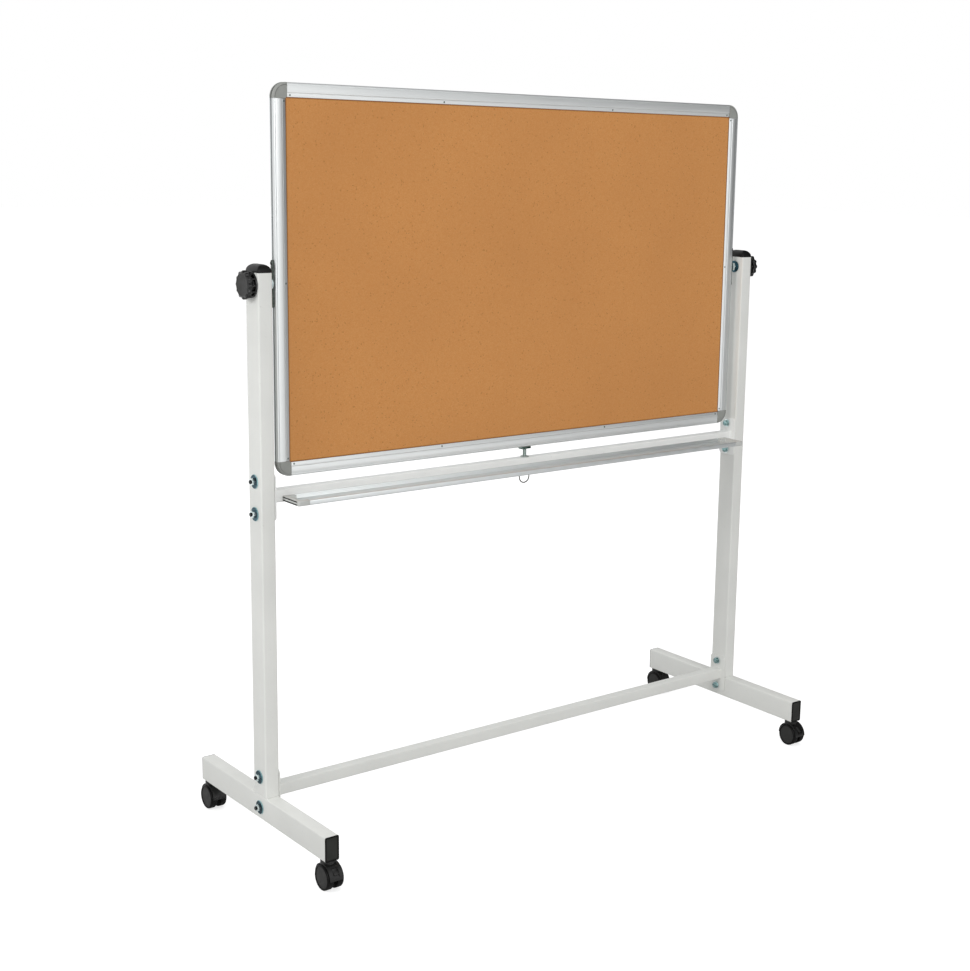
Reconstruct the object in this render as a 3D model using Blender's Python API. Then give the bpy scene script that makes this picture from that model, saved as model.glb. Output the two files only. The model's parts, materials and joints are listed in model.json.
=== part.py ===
"""Mobile reversible pinboard: a framed cork board that turns between two posts on a wheeled stand.

Metres, +Z up, +X to the right of someone who faces the cork side, +Y behind the board. The floor is
z = 0, and the origin is under the middle of the whole object's footprint. Everything hangs from one
empty, which carries the posts' plane back so that the casters' reach in front stays balanced.
"""
import math

import bmesh
import bpy
from mathutils import Matrix, Vector

# Gaps between pieces, the overrun that lets a cutter pass right through a wall, and the lap of a joint
SEAT_GAP = 0.0003
WELD_DISTANCE = 0.000003
OVERRUN = 0.002
WELD_LAP = 0.001
SHARP_ANGLE = math.radians(32)

# Board: overall frame, and the panel that its rails grip
BOARD_WIDTH = 1.213
BOARD_HEIGHT = 0.747
RAIL_FACE = 0.0195
RAIL_LIP = 0.0078
LIP_WALL = 0.0015
LIP_SETBACK = 0.0012
RAIL_EDGE_RADIUS = 0.0025
RAIL_WALL = 0.0016
SIDE_GROOVE_SPACING = 0.0095
SIDE_GROOVE_WIDTH = 0.0012
SIDE_GROOVE_DEPTH = 0.0007
PANEL_GRIP = 0.0093
CORNER_OVERREACH = 0.0025
CORNER_RADIUS = 0.028
TONGUE_LENGTH = 0.014
CORK_THICKNESS = 0.004
CORE_THICKNESS = 0.0047
WHITEBOARD_THICKNESS = 0.0007

# Stand tubes, the same section for posts and feet
TUBE_WIDTH = 0.030
TUBE_DEPTH = 0.050
TUBE_WALL = 0.0015
TUBE_EDGE_RADIUS = 0.003
FOOT_LENGTH = 0.504

# Crossbars with their welded end plates
BAR_SIZE = 0.025
BAR_WALL = 0.0015
BAR_EDGE_RADIUS = 0.002
PLATE_THICKNESS = 0.004
PLATE_BOLT_SPACING = 0.064
PLATE_MARGIN = 0.013
PLATE_CORNER_RADIUS = 0.008
PLATE_VENT_MARGIN = 0.004
UPPER_BAR_HEIGHT = 0.716
BOARD_LIFT = 0.0231
BOARD_RUNNING_GAP = 0.0038

# Bolts through post and end plate
BOLT_RADIUS = 0.004
BOLT_HOLE_CLEARANCE = 0.0003
BOLT_FLATS = 0.013
BOLT_HEAD_HEIGHT = 0.0053
BOLT_WASHER_RADIUS = 0.0125
BOLT_WASHER_THICKNESS = 0.0018
NUT_HEIGHT = 0.0065
HEAD_WASHER_RADIUS = 0.009
BOLT_END = 0.0030

# Plastic end caps
CAP_FLANGE = 0.002
CAP_PLUG_DEPTH = 0.007
CAP_PLUG_CLEARANCE = 0.0004
POST_CAP_RISE = 0.0155
POST_CAP_PLUG_DEPTH = 0.012
POST_CAP_CURVE = math.radians(74)
POST_CAP_CURVE_STEPS = 5
CAP_CORNER_SHARE = 0.45
STUD_TO_CAP_GAP = 0.0059
STEM_TO_CAP_GAP = 0.002

# Pen tray
TRAY_END_GAP = 0.022
TRAY_DEPTH = 0.062
TRAY_HEIGHT = 0.0105
TRAY_DROP = 0.0125
TRAY_WALL = 0.0022
TRAY_LIP_WIDTH = 0.008
TRAY_LIP_RADIUS = 0.0024
TRAY_CAP_LENGTH = 0.025
TRAY_SLOT_HEIGHT = 0.0018
TRAY_SLOT_DEPTH = 0.003
TRAY_SLOT_SPACING = 0.0055

# Pivot: plate screwed to the side rail, threaded stud, nut with washer, clamp knob
PIVOT_PLATE_MARGIN = 0.006
PIVOT_PLATE_WIDTH = 0.014
PIVOT_PLATE_THICKNESS = 0.003
PIVOT_SCREW_SPACING = 0.078
PIVOT_SCREW_RADIUS = 0.002
PIVOT_SCREW_HEAD_RADIUS = 0.004
PIVOT_SCREW_HEAD_HEIGHT = 0.0022
STUD_RADIUS = 0.005
PIVOT_NUT_FLATS = 0.017
PIVOT_WASHER_RADIUS = 0.0135
PIVOT_WASHER_THICKNESS = 0.0025
KNOB_RADIUS = 0.0275
KNOB_LOBE_DEPTH = 0.0016
KNOB_FLANGE_HEIGHT = 0.0035
KNOB_FLANGE_RADIUS = 0.0250
KNOB_NECK_RADIUS = 0.0215
KNOB_NECK_HEIGHT = 0.0053
KNOB_BODY_HEIGHT = 0.0120
KNOB_CROWN = 0.0078
KNOB_EDGE = 0.0022
KNOB_LOBES = 12

# Spring latch in the middle of the upper crossbar
PIN_RADIUS = 0.004
PIN_CLEARANCE = 0.0003
PIN_COLLAR_REACH = 0.0018
PIN_COLLAR_HEIGHT = 0.003
PIN_TIP_GAP = 0.0006
STRIKE_LENGTH = 0.026
STRIKE_WALL = 0.0027
STRIKE_THICKNESS = 0.004
COLLAR_CLEARANCE = 0.0006
HOUSING_WALL = 0.0014
HOUSING_FLANGE_REACH = 0.0017
HOUSING_FLANGE_HEIGHT = 0.002
HOUSING_FOOT = 0.0015
HOUSING_NECK = 0.0025
EYE_THICKNESS = 0.005
EYE_WALL = 0.002
EYE_CLEARANCE = 0.0008
RING_RADIUS = 0.0125
RING_WIRE_RADIUS = 0.0014
SPRING_WIRE_RADIUS = 0.0006
SPRING_TURNS = 5

# Casters: twin wheels under a hood, on a stem
WHEEL_RADIUS = 0.025
WHEEL_WIDTH = 0.0140
WHEEL_EDGE_RADIUS = 0.0018
WHEEL_DISH_DEPTH = 0.0012
WHEEL_RIM = 0.0040
AXLE_RADIUS = 0.004
AXLE_CLEARANCE = 0.0003
AXLE_END_COVER = 0.0025
WEB_THICKNESS = 0.007
WHEEL_SIDE_GAP = 0.0006
HOOD_CLEARANCE = 0.0010
HOOD_WALL = 0.0025
CASTER_TRAIL = 0.004
CASTER_COLLAR_RADIUS = 0.015
CASTER_HEADROOM = 0.0045
BOSS_RADIUS = 0.012
STEM_RADIUS = 0.005
STEM_LENGTH = 0.020
LEVER_WIDTH = 0.0120
LEVER_LENGTH = 0.0125
LEVER_THICKNESS = 0.0020
LEVER_BARREL_RADIUS = 0.0016
LEVER_GAP = 0.0004
LEVER_WHEEL_GAP = 0.00065
LEVER_LIFT_ROOM = 0.0060
LEVER_PRESS_ANGLE = math.radians(10)
LEVER_PIVOT_ANGLE = math.radians(48)

# How finely round shapes are cut
ROUND_STEPS = 24
HOLE_STEPS = 12
BOLT_STEPS = 12
EDGE_STEPS = 2
CORNER_STEPS = 6
KNOB_STEPS_PER_LOBE = 4
SPRING_STEPS = 8
WIRE_STEPS = 8

# Sizes and places worked out from the ones above
BOARD_SIDE_GAP = (
    SEAT_GAP + PLATE_THICKNESS + SEAT_GAP + BOLT_WASHER_THICKNESS + BOLT_HEAD_HEIGHT + BOARD_RUNNING_GAP
)
POST_RISE_ABOVE_PIVOT = STUD_RADIUS + STUD_TO_CAP_GAP + POST_CAP_PLUG_DEPTH
KNOB_HEIGHT = KNOB_FLANGE_HEIGHT + KNOB_NECK_HEIGHT + KNOB_BODY_HEIGHT
STUD_ENGAGEMENT = KNOB_HEIGHT - KNOB_CROWN
PLATE_HEIGHT = PLATE_BOLT_SPACING + 2 * PLATE_MARGIN
PLATE_VENT_RADIUS = BAR_SIZE / 2 - BAR_WALL - PLATE_VENT_MARGIN
PIVOT_PLATE_HEIGHT = PIVOT_SCREW_SPACING + 2 * PIVOT_PLATE_MARGIN
PIN_COLLAR_RADIUS = PIN_RADIUS + PIN_COLLAR_REACH
HOUSING_BORE = PIN_COLLAR_RADIUS + COLLAR_CLEARANCE
HOUSING_RADIUS = HOUSING_BORE + HOUSING_WALL
HOUSING_FLANGE_RADIUS = HOUSING_RADIUS + HOUSING_FLANGE_REACH
EYE_HOLE_RADIUS = RING_WIRE_RADIUS + EYE_CLEARANCE
EYE_RADIUS = EYE_HOLE_RADIUS + EYE_WALL
STRIKE_WIDTH = 2 * (PIN_RADIUS + BOLT_HOLE_CLEARANCE + STRIKE_WALL)
TUBE_INNER_RADIUS = max(TUBE_EDGE_RADIUS - TUBE_WALL, TUBE_WALL / 2)
BAR_HALF = BAR_SIZE / 2
UPPER_BAR_TOP = UPPER_BAR_HEIGHT + BAR_HALF
BOARD_BOTTOM = UPPER_BAR_TOP + BOARD_LIFT
PIVOT_HEIGHT = BOARD_BOTTOM + BOARD_HEIGHT / 2
POST_TOP = PIVOT_HEIGHT + POST_RISE_ABOVE_PIVOT
POST_INNER_X = BOARD_WIDTH / 2 + BOARD_SIDE_GAP
POST_OUTER_X = POST_INNER_X + TUBE_WIDTH
POST_MIDDLE_X = POST_INNER_X + TUBE_WIDTH / 2
HOOD_RADIUS = WHEEL_RADIUS + HOOD_CLEARANCE + HOOD_WALL
COLLAR_TOP = WHEEL_RADIUS + HOOD_RADIUS + CASTER_HEADROOM - SEAT_GAP
FOOT_UNDERSIDE = COLLAR_TOP + SEAT_GAP
FOOT_MIDDLE = FOOT_UNDERSIDE + TUBE_DEPTH / 2
FOOT_TOP = FOOT_UNDERSIDE + TUBE_DEPTH
LOWER_BAR_HEIGHT = FOOT_MIDDLE + PLATE_BOLT_SPACING / 2
STEM_Y = FOOT_LENGTH / 2 - CAP_PLUG_DEPTH - STEM_TO_CAP_GAP - STEM_RADIUS
RAIL_DEPTH = RAIL_FACE + RAIL_LIP
CORNER_REACH = RAIL_DEPTH + CORNER_OVERREACH
PANEL_INSET = RAIL_DEPTH - PANEL_GRIP
PANEL_THICKNESS = CORK_THICKNESS + CORE_THICKNESS + WHITEBOARD_THICKNESS + 2 * SEAT_GAP
SLOT_HALF = PANEL_THICKNESS / 2 + SEAT_GAP
RAIL_THICKNESS = 2 * (SLOT_HALF + LIP_WALL + LIP_SETBACK)
LEVER_REACH = WHEEL_RADIUS + LEVER_WHEEL_GAP + LEVER_BARREL_RADIUS
LEVER_TIP_REACH = (
    (LEVER_REACH + LEVER_THICKNESS / 2) * math.cos(LEVER_PIVOT_ANGLE)
    + LEVER_LENGTH * math.sin(LEVER_PIVOT_ANGLE)
)
FRONT_REACH = STEM_Y + CASTER_TRAIL + max(HOOD_RADIUS, LEVER_TIP_REACH)
REAR_REACH = max(FOOT_LENGTH / 2 + CAP_FLANGE, STEM_Y - CASTER_TRAIL + HOOD_RADIUS)
POSTS_SETBACK = (FRONT_REACH - REAR_REACH) / 2

SIDES = {"left": -1, "right": 1}
ENDS = {"front": -1, "rear": 1}


def clear_scene():
    """Removes every object, so that the model starts from nothing."""
    for item in list(bpy.data.objects):
        bpy.data.objects.remove(item)


def finish_material(name, colour, roughness, metallic=0.0):
    """Makes one plain finish."""
    material = bpy.data.materials.new(name)
    material.use_nodes = True
    shader = material.node_tree.nodes["Principled BSDF"]
    shader.inputs["Base Color"].default_value = (*colour, 1.0)
    shader.inputs["Roughness"].default_value = roughness
    shader.inputs["Metallic"].default_value = metallic
    return material


def make_finishes():
    """Makes every finish of the object, by name."""
    return {
        "powder_coat": finish_material("powder_coat", (0.80, 0.80, 0.77), 0.45),
        "frame_aluminium": finish_material("frame_aluminium", (0.72, 0.73, 0.74), 0.38, 0.9),
        "corner_grey": finish_material("corner_grey", (0.33, 0.33, 0.32), 0.5),
        "tray_aluminium": finish_material("tray_aluminium", (0.70, 0.71, 0.72), 0.42, 0.9),
        "tray_grey": finish_material("tray_grey", (0.42, 0.42, 0.41), 0.5),
        "black_plastic": finish_material("black_plastic", (0.02, 0.02, 0.02), 0.4),
        "wheel_black": finish_material("wheel_black", (0.03, 0.03, 0.03), 0.5),
        "zinc": finish_material("zinc", (0.62, 0.68, 0.70), 0.3, 0.9),
        "spring_steel": finish_material("spring_steel", (0.55, 0.56, 0.58), 0.3, 1.0),
        "cork": finish_material("cork", (0.52, 0.23, 0.08), 0.85),
        "core_board": finish_material("core_board", (0.55, 0.44, 0.30), 0.8),
        "whiteboard": finish_material("whiteboard", (0.86, 0.87, 0.87), 0.12),
    }


def make_empty(name, parent, location=(0, 0, 0), turn=(0, 0, 0)):
    """Adds an empty that carries other pieces."""
    empty = bpy.data.objects.new(name, None)
    bpy.context.scene.collection.objects.link(empty)
    empty.parent = parent
    empty.location = location
    empty.rotation_euler = turn
    return empty


def face_outward(shape):
    """Turns all faces of one closed shape outward."""
    bmesh.ops.recalc_face_normals(shape, faces=shape.faces)
    if shape.calc_volume(signed=True) < 0:
        bmesh.ops.reverse_faces(shape, faces=shape.faces)
    return shape


def add_piece(name, shape, material, parent, location=(0, 0, 0), turn=(0, 0, 0)):
    """Turns a bmesh into a named object with its finish, shaded smooth but for its corners."""
    mesh = bpy.data.meshes.new(name)
    shape.to_mesh(mesh)
    shape.free()
    mesh.shade_smooth()
    mesh.set_sharp_from_angle(angle=SHARP_ANGLE)
    mesh.materials.append(material)
    piece = bpy.data.objects.new(name, mesh)
    bpy.context.scene.collection.objects.link(piece)
    piece.parent = parent
    piece.location = location
    piece.rotation_euler = turn
    return piece


def apply_tool(piece, tool_name, shape, operation):
    """Cuts or joins a hidden shape, given in the piece's own axes, with the piece."""
    mesh = bpy.data.meshes.new(tool_name)
    shape.to_mesh(mesh)
    shape.free()
    tool = bpy.data.objects.new(f"{piece.name}_{tool_name}", mesh)
    bpy.context.scene.collection.objects.link(tool)
    tool.parent = piece
    tool.hide_render = True
    tool.display_type = "WIRE"
    modifier = piece.modifiers.new(tool_name, "BOOLEAN")
    modifier.operation = operation
    modifier.solver = "EXACT"
    modifier.object = tool


def move_shape(shape, matrix):
    """Moves, turns or mirrors a bmesh and hands it back."""
    bmesh.ops.transform(shape, matrix=matrix, verts=shape.verts)
    if matrix.determinant() < 0:
        bmesh.ops.reverse_faces(shape, faces=shape.faces)
    return shape


def join_shapes(*shapes):
    """Gathers several bmeshes, which stay apart, into the first."""
    first = shapes[0]
    for other in shapes[1:]:
        mesh = bpy.data.meshes.new("gathered")
        other.to_mesh(mesh)
        other.free()
        first.from_mesh(mesh)
        bpy.data.meshes.remove(mesh)
    return first


def shift(x=0.0, y=0.0, z=0.0):
    """Gives a plain move."""
    return Matrix.Translation((x, y, z))


def along_x():
    """Gives the turn that lays a shape's +Z along +X, with its X along -Z."""
    return Matrix.Rotation(math.pi / 2, 4, "Y")


def along_y():
    """Gives the turn that lays a shape's +Z along +Y, with its Y along -Z."""
    return Matrix.Rotation(-math.pi / 2, 4, "X")


def box_shape(low, high):
    """Makes a box between two corners."""
    shape = bmesh.new()
    bmesh.ops.create_cube(shape, size=1.0)
    low, high = Vector(low), Vector(high)
    size = high - low
    scale = Matrix.Diagonal((size.x, size.y, size.z, 1.0))
    return move_shape(shape, Matrix.Translation((low + high) / 2) @ scale)


def rounded_rectangle(width, depth, radius, steps):
    """Gives the corners of a rectangle about the origin, with round edges."""
    radius = min(radius, width / 2, depth / 2)
    points = []
    for quarter in range(4):
        turn = quarter * math.pi / 2
        sign_x = 1 if quarter in (0, 3) else -1
        sign_y = 1 if quarter in (0, 1) else -1
        centre_x = sign_x * (width / 2 - radius)
        centre_y = sign_y * (depth / 2 - radius)
        for step in range(steps + 1):
            angle = turn + step / steps * math.pi / 2
            points.append((centre_x + radius * math.cos(angle), centre_y + radius * math.sin(angle)))
    return points


def circle_points(radius, steps):
    """Gives points round a circle about the origin."""
    return [
        (radius * math.cos(step / steps * math.tau), radius * math.sin(step / steps * math.tau))
        for step in range(steps)
    ]


def hexagon_points(flats, steps):
    """Gives points round a hexagon, with its six corners among them."""
    points = []
    for step in range(steps):
        angle = step / steps * math.tau
        from_middle = (angle + math.pi / 6) % (math.pi / 3) - math.pi / 6
        reach = flats / 2 / math.cos(from_middle)
        points.append((reach * math.cos(angle), reach * math.sin(angle)))
    return points


def prism(outlines, start, end):
    """Extrudes one outline, and any holes given after it, along Z."""
    shape = bmesh.new()
    edges = []
    for outline in outlines:
        verts = [shape.verts.new((x, y, start)) for x, y in outline]
        for here, there in zip(verts, verts[1:] + verts[:1]):
            edges.append(shape.edges.new((here, there)))
    bmesh.ops.triangle_fill(shape, use_beauty=True, edges=edges)
    grown = bmesh.ops.extrude_face_region(shape, geom=list(shape.faces), use_keep_orig=True)
    top = [item for item in grown["geom"] if isinstance(item, bmesh.types.BMVert)]
    bmesh.ops.translate(shape, verts=top, vec=(0, 0, end - start))
    return face_outward(shape)


def spin_round(shape, outline, steps):
    """Turns an outline about Z, closes the seam and faces the shape outward."""
    centre, axis = (0, 0, 0), (0, 0, 1)
    bmesh.ops.spin(shape, geom=outline, cent=centre, axis=axis, angle=math.tau, steps=steps, use_merge=True)
    bmesh.ops.remove_doubles(shape, verts=shape.verts, dist=WELD_DISTANCE)
    return face_outward(shape)


def lathe(profile, steps=ROUND_STEPS):
    """Turns a profile of (radius, height) points about Z into a closed shape."""
    shape = bmesh.new()
    verts = [shape.verts.new((radius, 0, height)) for radius, height in profile]
    pairs = list(zip(verts, verts[1:]))
    if profile[0][0] > 0:
        pairs.append((verts[-1], verts[0]))
    edges = [shape.edges.new(pair) for pair in pairs]
    return spin_round(shape, verts + edges, steps)


def loft(rings):
    """Joins rings of equal count, each (points, height), and closes both ends."""
    shape = bmesh.new()
    loops = [[shape.verts.new((x, y, height)) for x, y in points] for points, height in rings]
    for lower, upper in zip(loops, loops[1:]):
        for index in range(len(lower)):
            shape.faces.new((lower[index - 1], lower[index], upper[index], upper[index - 1]))
    shape.faces.new(loops[0])
    shape.faces.new(loops[-1])
    return face_outward(shape)


def cylinder(radius, start, end, steps=HOLE_STEPS):
    """Makes a plain round bar along Z, for holes and pegs."""
    return prism([circle_points(radius, steps)], start, end)


def tube_section(width, depth, wall, radius):
    """Gives the outer and inner outline of a rectangular tube."""
    outer = rounded_rectangle(width, depth, radius, EDGE_STEPS)
    inner_radius = max(radius - wall, wall / 2)
    inner = rounded_rectangle(width - 2 * wall, depth - 2 * wall, inner_radius, EDGE_STEPS)
    return [outer, inner]


# Stand

def build_posts(parent, finishes):
    """Two upright tubes, each drilled for its crossbar bolts and its pivot stud."""
    bolt_hole = BOLT_RADIUS + BOLT_HOLE_CLEARANCE
    stud_hole = STUD_RADIUS + BOLT_HOLE_CLEARANCE
    across = TUBE_WIDTH / 2 + OVERRUN
    holes = [(bolt_hole, height) for height in post_bolt_heights()]
    holes.append((stud_hole, PIVOT_HEIGHT))
    for side, sign in SIDES.items():
        section = tube_section(TUBE_WIDTH, TUBE_DEPTH, TUBE_WALL, TUBE_EDGE_RADIUS)
        shape = prism(section, FOOT_TOP + SEAT_GAP, POST_TOP)
        post = add_piece(
            f"{side}_post", shape, finishes["powder_coat"], parent, (sign * POST_MIDDLE_X, 0, 0)
        )
        drills = [
            move_shape(cylinder(radius, -across, across), shift(z=height) @ along_x())
            for radius, height in holes
        ]
        apply_tool(post, "drill", join_shapes(*drills), "DIFFERENCE")


def plate_bolt_heights(bar_height):
    """Gives the heights of the two bolts in an end plate, upper one first."""
    return [bar_height + PLATE_BOLT_SPACING / 2, bar_height - PLATE_BOLT_SPACING / 2]


def post_bolt_heights():
    """Gives the heights of the bolts that pass through a post."""
    return plate_bolt_heights(UPPER_BAR_HEIGHT) + plate_bolt_heights(LOWER_BAR_HEIGHT)[:1]


def build_feet(parent, finishes):
    """Two floor tubes, drilled for the lowest bolt and for the caster stems."""
    bolt_hole = BOLT_RADIUS + BOLT_HOLE_CLEARANCE
    stem_hole = STEM_RADIUS + BOLT_HOLE_CLEARANCE
    across = TUBE_WIDTH / 2 + OVERRUN
    for side, sign in SIDES.items():
        section = tube_section(TUBE_WIDTH, TUBE_DEPTH, TUBE_WALL, TUBE_EDGE_RADIUS)
        shape = move_shape(prism(section, -FOOT_LENGTH / 2, FOOT_LENGTH / 2), along_y())
        foot = add_piece(
            f"{side}_foot", shape, finishes["powder_coat"], parent, (sign * POST_MIDDLE_X, 0, FOOT_MIDDLE)
        )
        drills = [move_shape(cylinder(bolt_hole, -across, across), along_x())]
        for end_sign in ENDS.values():
            low = -TUBE_DEPTH / 2 - OVERRUN
            high = -TUBE_DEPTH / 2 + TUBE_WALL + OVERRUN
            drills.append(move_shape(cylinder(stem_hole, low, high), shift(y=end_sign * STEM_Y)))
        apply_tool(foot, "drill", join_shapes(*drills), "DIFFERENCE")


def plug_outlines():
    """Gives the outline of a plug that fits inside a tube, and the tube's own outline."""
    inset = 2 * (TUBE_WALL + CAP_PLUG_CLEARANCE)
    inner = rounded_rectangle(TUBE_WIDTH - inset, TUBE_DEPTH - inset, TUBE_INNER_RADIUS, EDGE_STEPS)
    outer = rounded_rectangle(TUBE_WIDTH, TUBE_DEPTH, TUBE_EDGE_RADIUS, EDGE_STEPS)
    return inner, outer


def build_foot_caps(parent, finishes):
    """Four flat plugs that close the ends of the feet."""
    inner, outer = plug_outlines()
    face_width = TUBE_WIDTH - CAP_FLANGE
    face_depth = TUBE_DEPTH - CAP_FLANGE
    face = rounded_rectangle(face_width, face_depth, TUBE_EDGE_RADIUS, EDGE_STEPS)
    for side, sign in SIDES.items():
        for end, end_sign in ENDS.items():
            rings = [
                (inner, -CAP_PLUG_DEPTH),
                (inner, SEAT_GAP),
                (outer, SEAT_GAP),
                (outer, CAP_FLANGE / 2),
                (face, CAP_FLANGE),
            ]
            upright = along_y() if end_sign > 0 else Matrix.Rotation(math.pi / 2, 4, "X")
            shape = move_shape(loft(rings), upright)
            place = (sign * POST_MIDDLE_X, end_sign * FOOT_LENGTH / 2, FOOT_MIDDLE)
            add_piece(f"{side}_foot_{end}_cap", shape, finishes["black_plastic"], parent, place)


def build_post_caps(parent, finishes):
    """Two domed plugs on the tops of the posts."""
    inner, outer = plug_outlines()
    rings = [(inner, -POST_CAP_PLUG_DEPTH), (inner, SEAT_GAP), (outer, SEAT_GAP), (outer, CAP_FLANGE)]
    for height_share, width_share in dome_shares():
        width = TUBE_WIDTH * width_share
        depth = TUBE_DEPTH - (TUBE_WIDTH - width)
        radius = min(TUBE_EDGE_RADIUS + (TUBE_WIDTH - width) / 2, width * CAP_CORNER_SHARE)
        height = CAP_FLANGE + (POST_CAP_RISE - CAP_FLANGE) * height_share
        rings.append((rounded_rectangle(width, depth, radius, EDGE_STEPS), height))
    for side, sign in SIDES.items():
        shape = loft(rings)
        place = (sign * POST_MIDDLE_X, 0, POST_TOP)
        add_piece(f"{side}_post_cap", shape, finishes["black_plastic"], parent, place)


def dome_shares():
    """Gives the shares of height and width up a round dome."""
    shares = []
    for step in range(1, POST_CAP_CURVE_STEPS + 1):
        angle = step / POST_CAP_CURVE_STEPS * POST_CAP_CURVE
        shares.append((math.sin(angle) / math.sin(POST_CAP_CURVE), math.cos(angle)))
    return shares


def bar_shape(height):
    """Makes a square tube along X between the end plates, at a height."""
    half = POST_INNER_X - SEAT_GAP - PLATE_THICKNESS + WELD_LAP
    section = tube_section(BAR_SIZE, BAR_SIZE, BAR_WALL, BAR_EDGE_RADIUS)
    return move_shape(prism(section, -half, half), shift(z=height) @ along_x())


def end_plate_shape(sign, height):
    """Makes the plate that a crossbar ends in, with two bolt holes and a vent."""
    outline = rounded_rectangle(PLATE_HEIGHT, TUBE_DEPTH, PLATE_CORNER_RADIUS, CORNER_STEPS // 2)
    hole = circle_points(BOLT_RADIUS + BOLT_HOLE_CLEARANCE, HOLE_STEPS)
    outlines = [outline, circle_points(PLATE_VENT_RADIUS, HOLE_STEPS)]
    for end_sign in ENDS.values():
        outlines.append([(x + end_sign * PLATE_BOLT_SPACING / 2, y) for x, y in hole])
    outer = POST_INNER_X - SEAT_GAP
    shape = prism(outlines, outer - PLATE_THICKNESS, outer)
    if sign < 0:
        shape = move_shape(shape, Matrix.Rotation(math.pi, 4, "X"))
    return move_shape(shape, shift(z=height) @ along_x())


def build_crossbars(parent, finishes):
    """The two crossbars; the upper one is bored for the latch housing."""
    for name, height in (("upper", UPPER_BAR_HEIGHT), ("lower", LOWER_BAR_HEIGHT)):
        bar = add_piece(f"{name}_crossbar", bar_shape(height), finishes["powder_coat"], parent)
        for side, sign in SIDES.items():
            apply_tool(bar, f"{side}_plate", end_plate_shape(sign, height), "UNION")
        if name == "upper":
            low = height - BAR_HALF - OVERRUN
            high = height + BAR_HALF + OVERRUN
            bore = cylinder(HOUSING_RADIUS + SEAT_GAP, low, high, ROUND_STEPS)
            apply_tool(bar, "latch_bore", bore, "DIFFERENCE")


def bolt_shape():
    """Makes a bolt with its washers and nut; it runs inward along +Z from the tube's outer face."""
    hexagon = hexagon_points(BOLT_FLATS, BOLT_STEPS)
    washer = circle_points(BOLT_WASHER_RADIUS, BOLT_STEPS)
    shank = circle_points(BOLT_RADIUS, BOLT_STEPS)
    head_washer = circle_points(HEAD_WASHER_RADIUS, BOLT_STEPS)
    nut_inner = -SEAT_GAP - BOLT_WASHER_THICKNESS
    nut_outer = nut_inner - NUT_HEIGHT
    grip = TUBE_WIDTH + SEAT_GAP + PLATE_THICKNESS + SEAT_GAP
    head_start = grip + BOLT_WASHER_THICKNESS
    rings = [
        (shank, nut_outer - BOLT_END),
        (shank, nut_outer),
        (hexagon, nut_outer),
        (hexagon, nut_inner),
        (washer, nut_inner),
        (washer, -SEAT_GAP),
        (shank, -SEAT_GAP),
        (shank, grip),
        (head_washer, grip),
        (head_washer, head_start),
        (hexagon, head_start),
        (hexagon, head_start + BOLT_HEAD_HEIGHT),
    ]
    return loft(rings)


def build_bar_bolts(parent, finishes):
    """Eight bolts through the posts and feet into the end plates."""
    for side, sign in SIDES.items():
        turn = along_x() if sign < 0 else Matrix.Rotation(-math.pi / 2, 4, "Y")
        for bar, height in (("upper", UPPER_BAR_HEIGHT), ("lower", LOWER_BAR_HEIGHT)):
            for rank, bolt_height in zip(("top", "bottom"), plate_bolt_heights(height)):
                shape = move_shape(bolt_shape(), turn)
                place = (sign * POST_OUTER_X, 0, bolt_height)
                add_piece(f"{side}_{bar}_bar_{rank}_bolt", shape, finishes["zinc"], parent, place)


# Pen tray

def tray_top():
    """Gives the height of the tray's lips."""
    return UPPER_BAR_TOP - TRAY_DROP


def tray_rear():
    """Gives how far in front of the posts' plane the tray's back stands."""
    return BAR_HALF + SEAT_GAP


def tray_half_length():
    """Gives half of the tray's length with its end caps."""
    return POST_INNER_X - TRAY_END_GAP


def tray_outline():
    """Gives the tray's section as (forward, up) points from its rear bottom edge."""
    lip_start = TRAY_DEPTH - TRAY_LIP_WIDTH
    radius = min(TRAY_LIP_RADIUS, TRAY_LIP_WIDTH / 3, TRAY_HEIGHT / 3)
    points = [(0, 0), (0, TRAY_HEIGHT), (TRAY_WALL, TRAY_HEIGHT)]
    points += [(TRAY_WALL, TRAY_WALL), (lip_start, TRAY_WALL)]
    corners = [
        (lip_start + TRAY_WALL + radius, TRAY_HEIGHT - radius, math.pi),
        (TRAY_DEPTH - radius, TRAY_HEIGHT - radius, math.pi / 2),
        (TRAY_DEPTH - radius, radius, 0.0),
    ]
    for centre_x, centre_y, first in corners:
        for step in range(EDGE_STEPS + 1):
            angle = first - step / EDGE_STEPS * math.pi / 2
            points.append((centre_x + radius * math.cos(angle), centre_y + radius * math.sin(angle)))
    return points


def build_tray(parent, finishes):
    """The extruded tray with its two moulded end caps."""
    bottom = tray_top() - TRAY_HEIGHT
    half = tray_half_length() - TRAY_CAP_LENGTH - SEAT_GAP
    outline = [(-up, -forward) for forward, up in tray_outline()]
    shape = move_shape(prism([outline], -half, half), along_x())
    add_piece("pen_tray", shape, finishes["tray_aluminium"], parent, (0, -tray_rear(), bottom))
    for side, sign in SIDES.items():
        build_tray_cap(f"tray_{side}_cap", sign, bottom, parent, finishes["tray_grey"])


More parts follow.
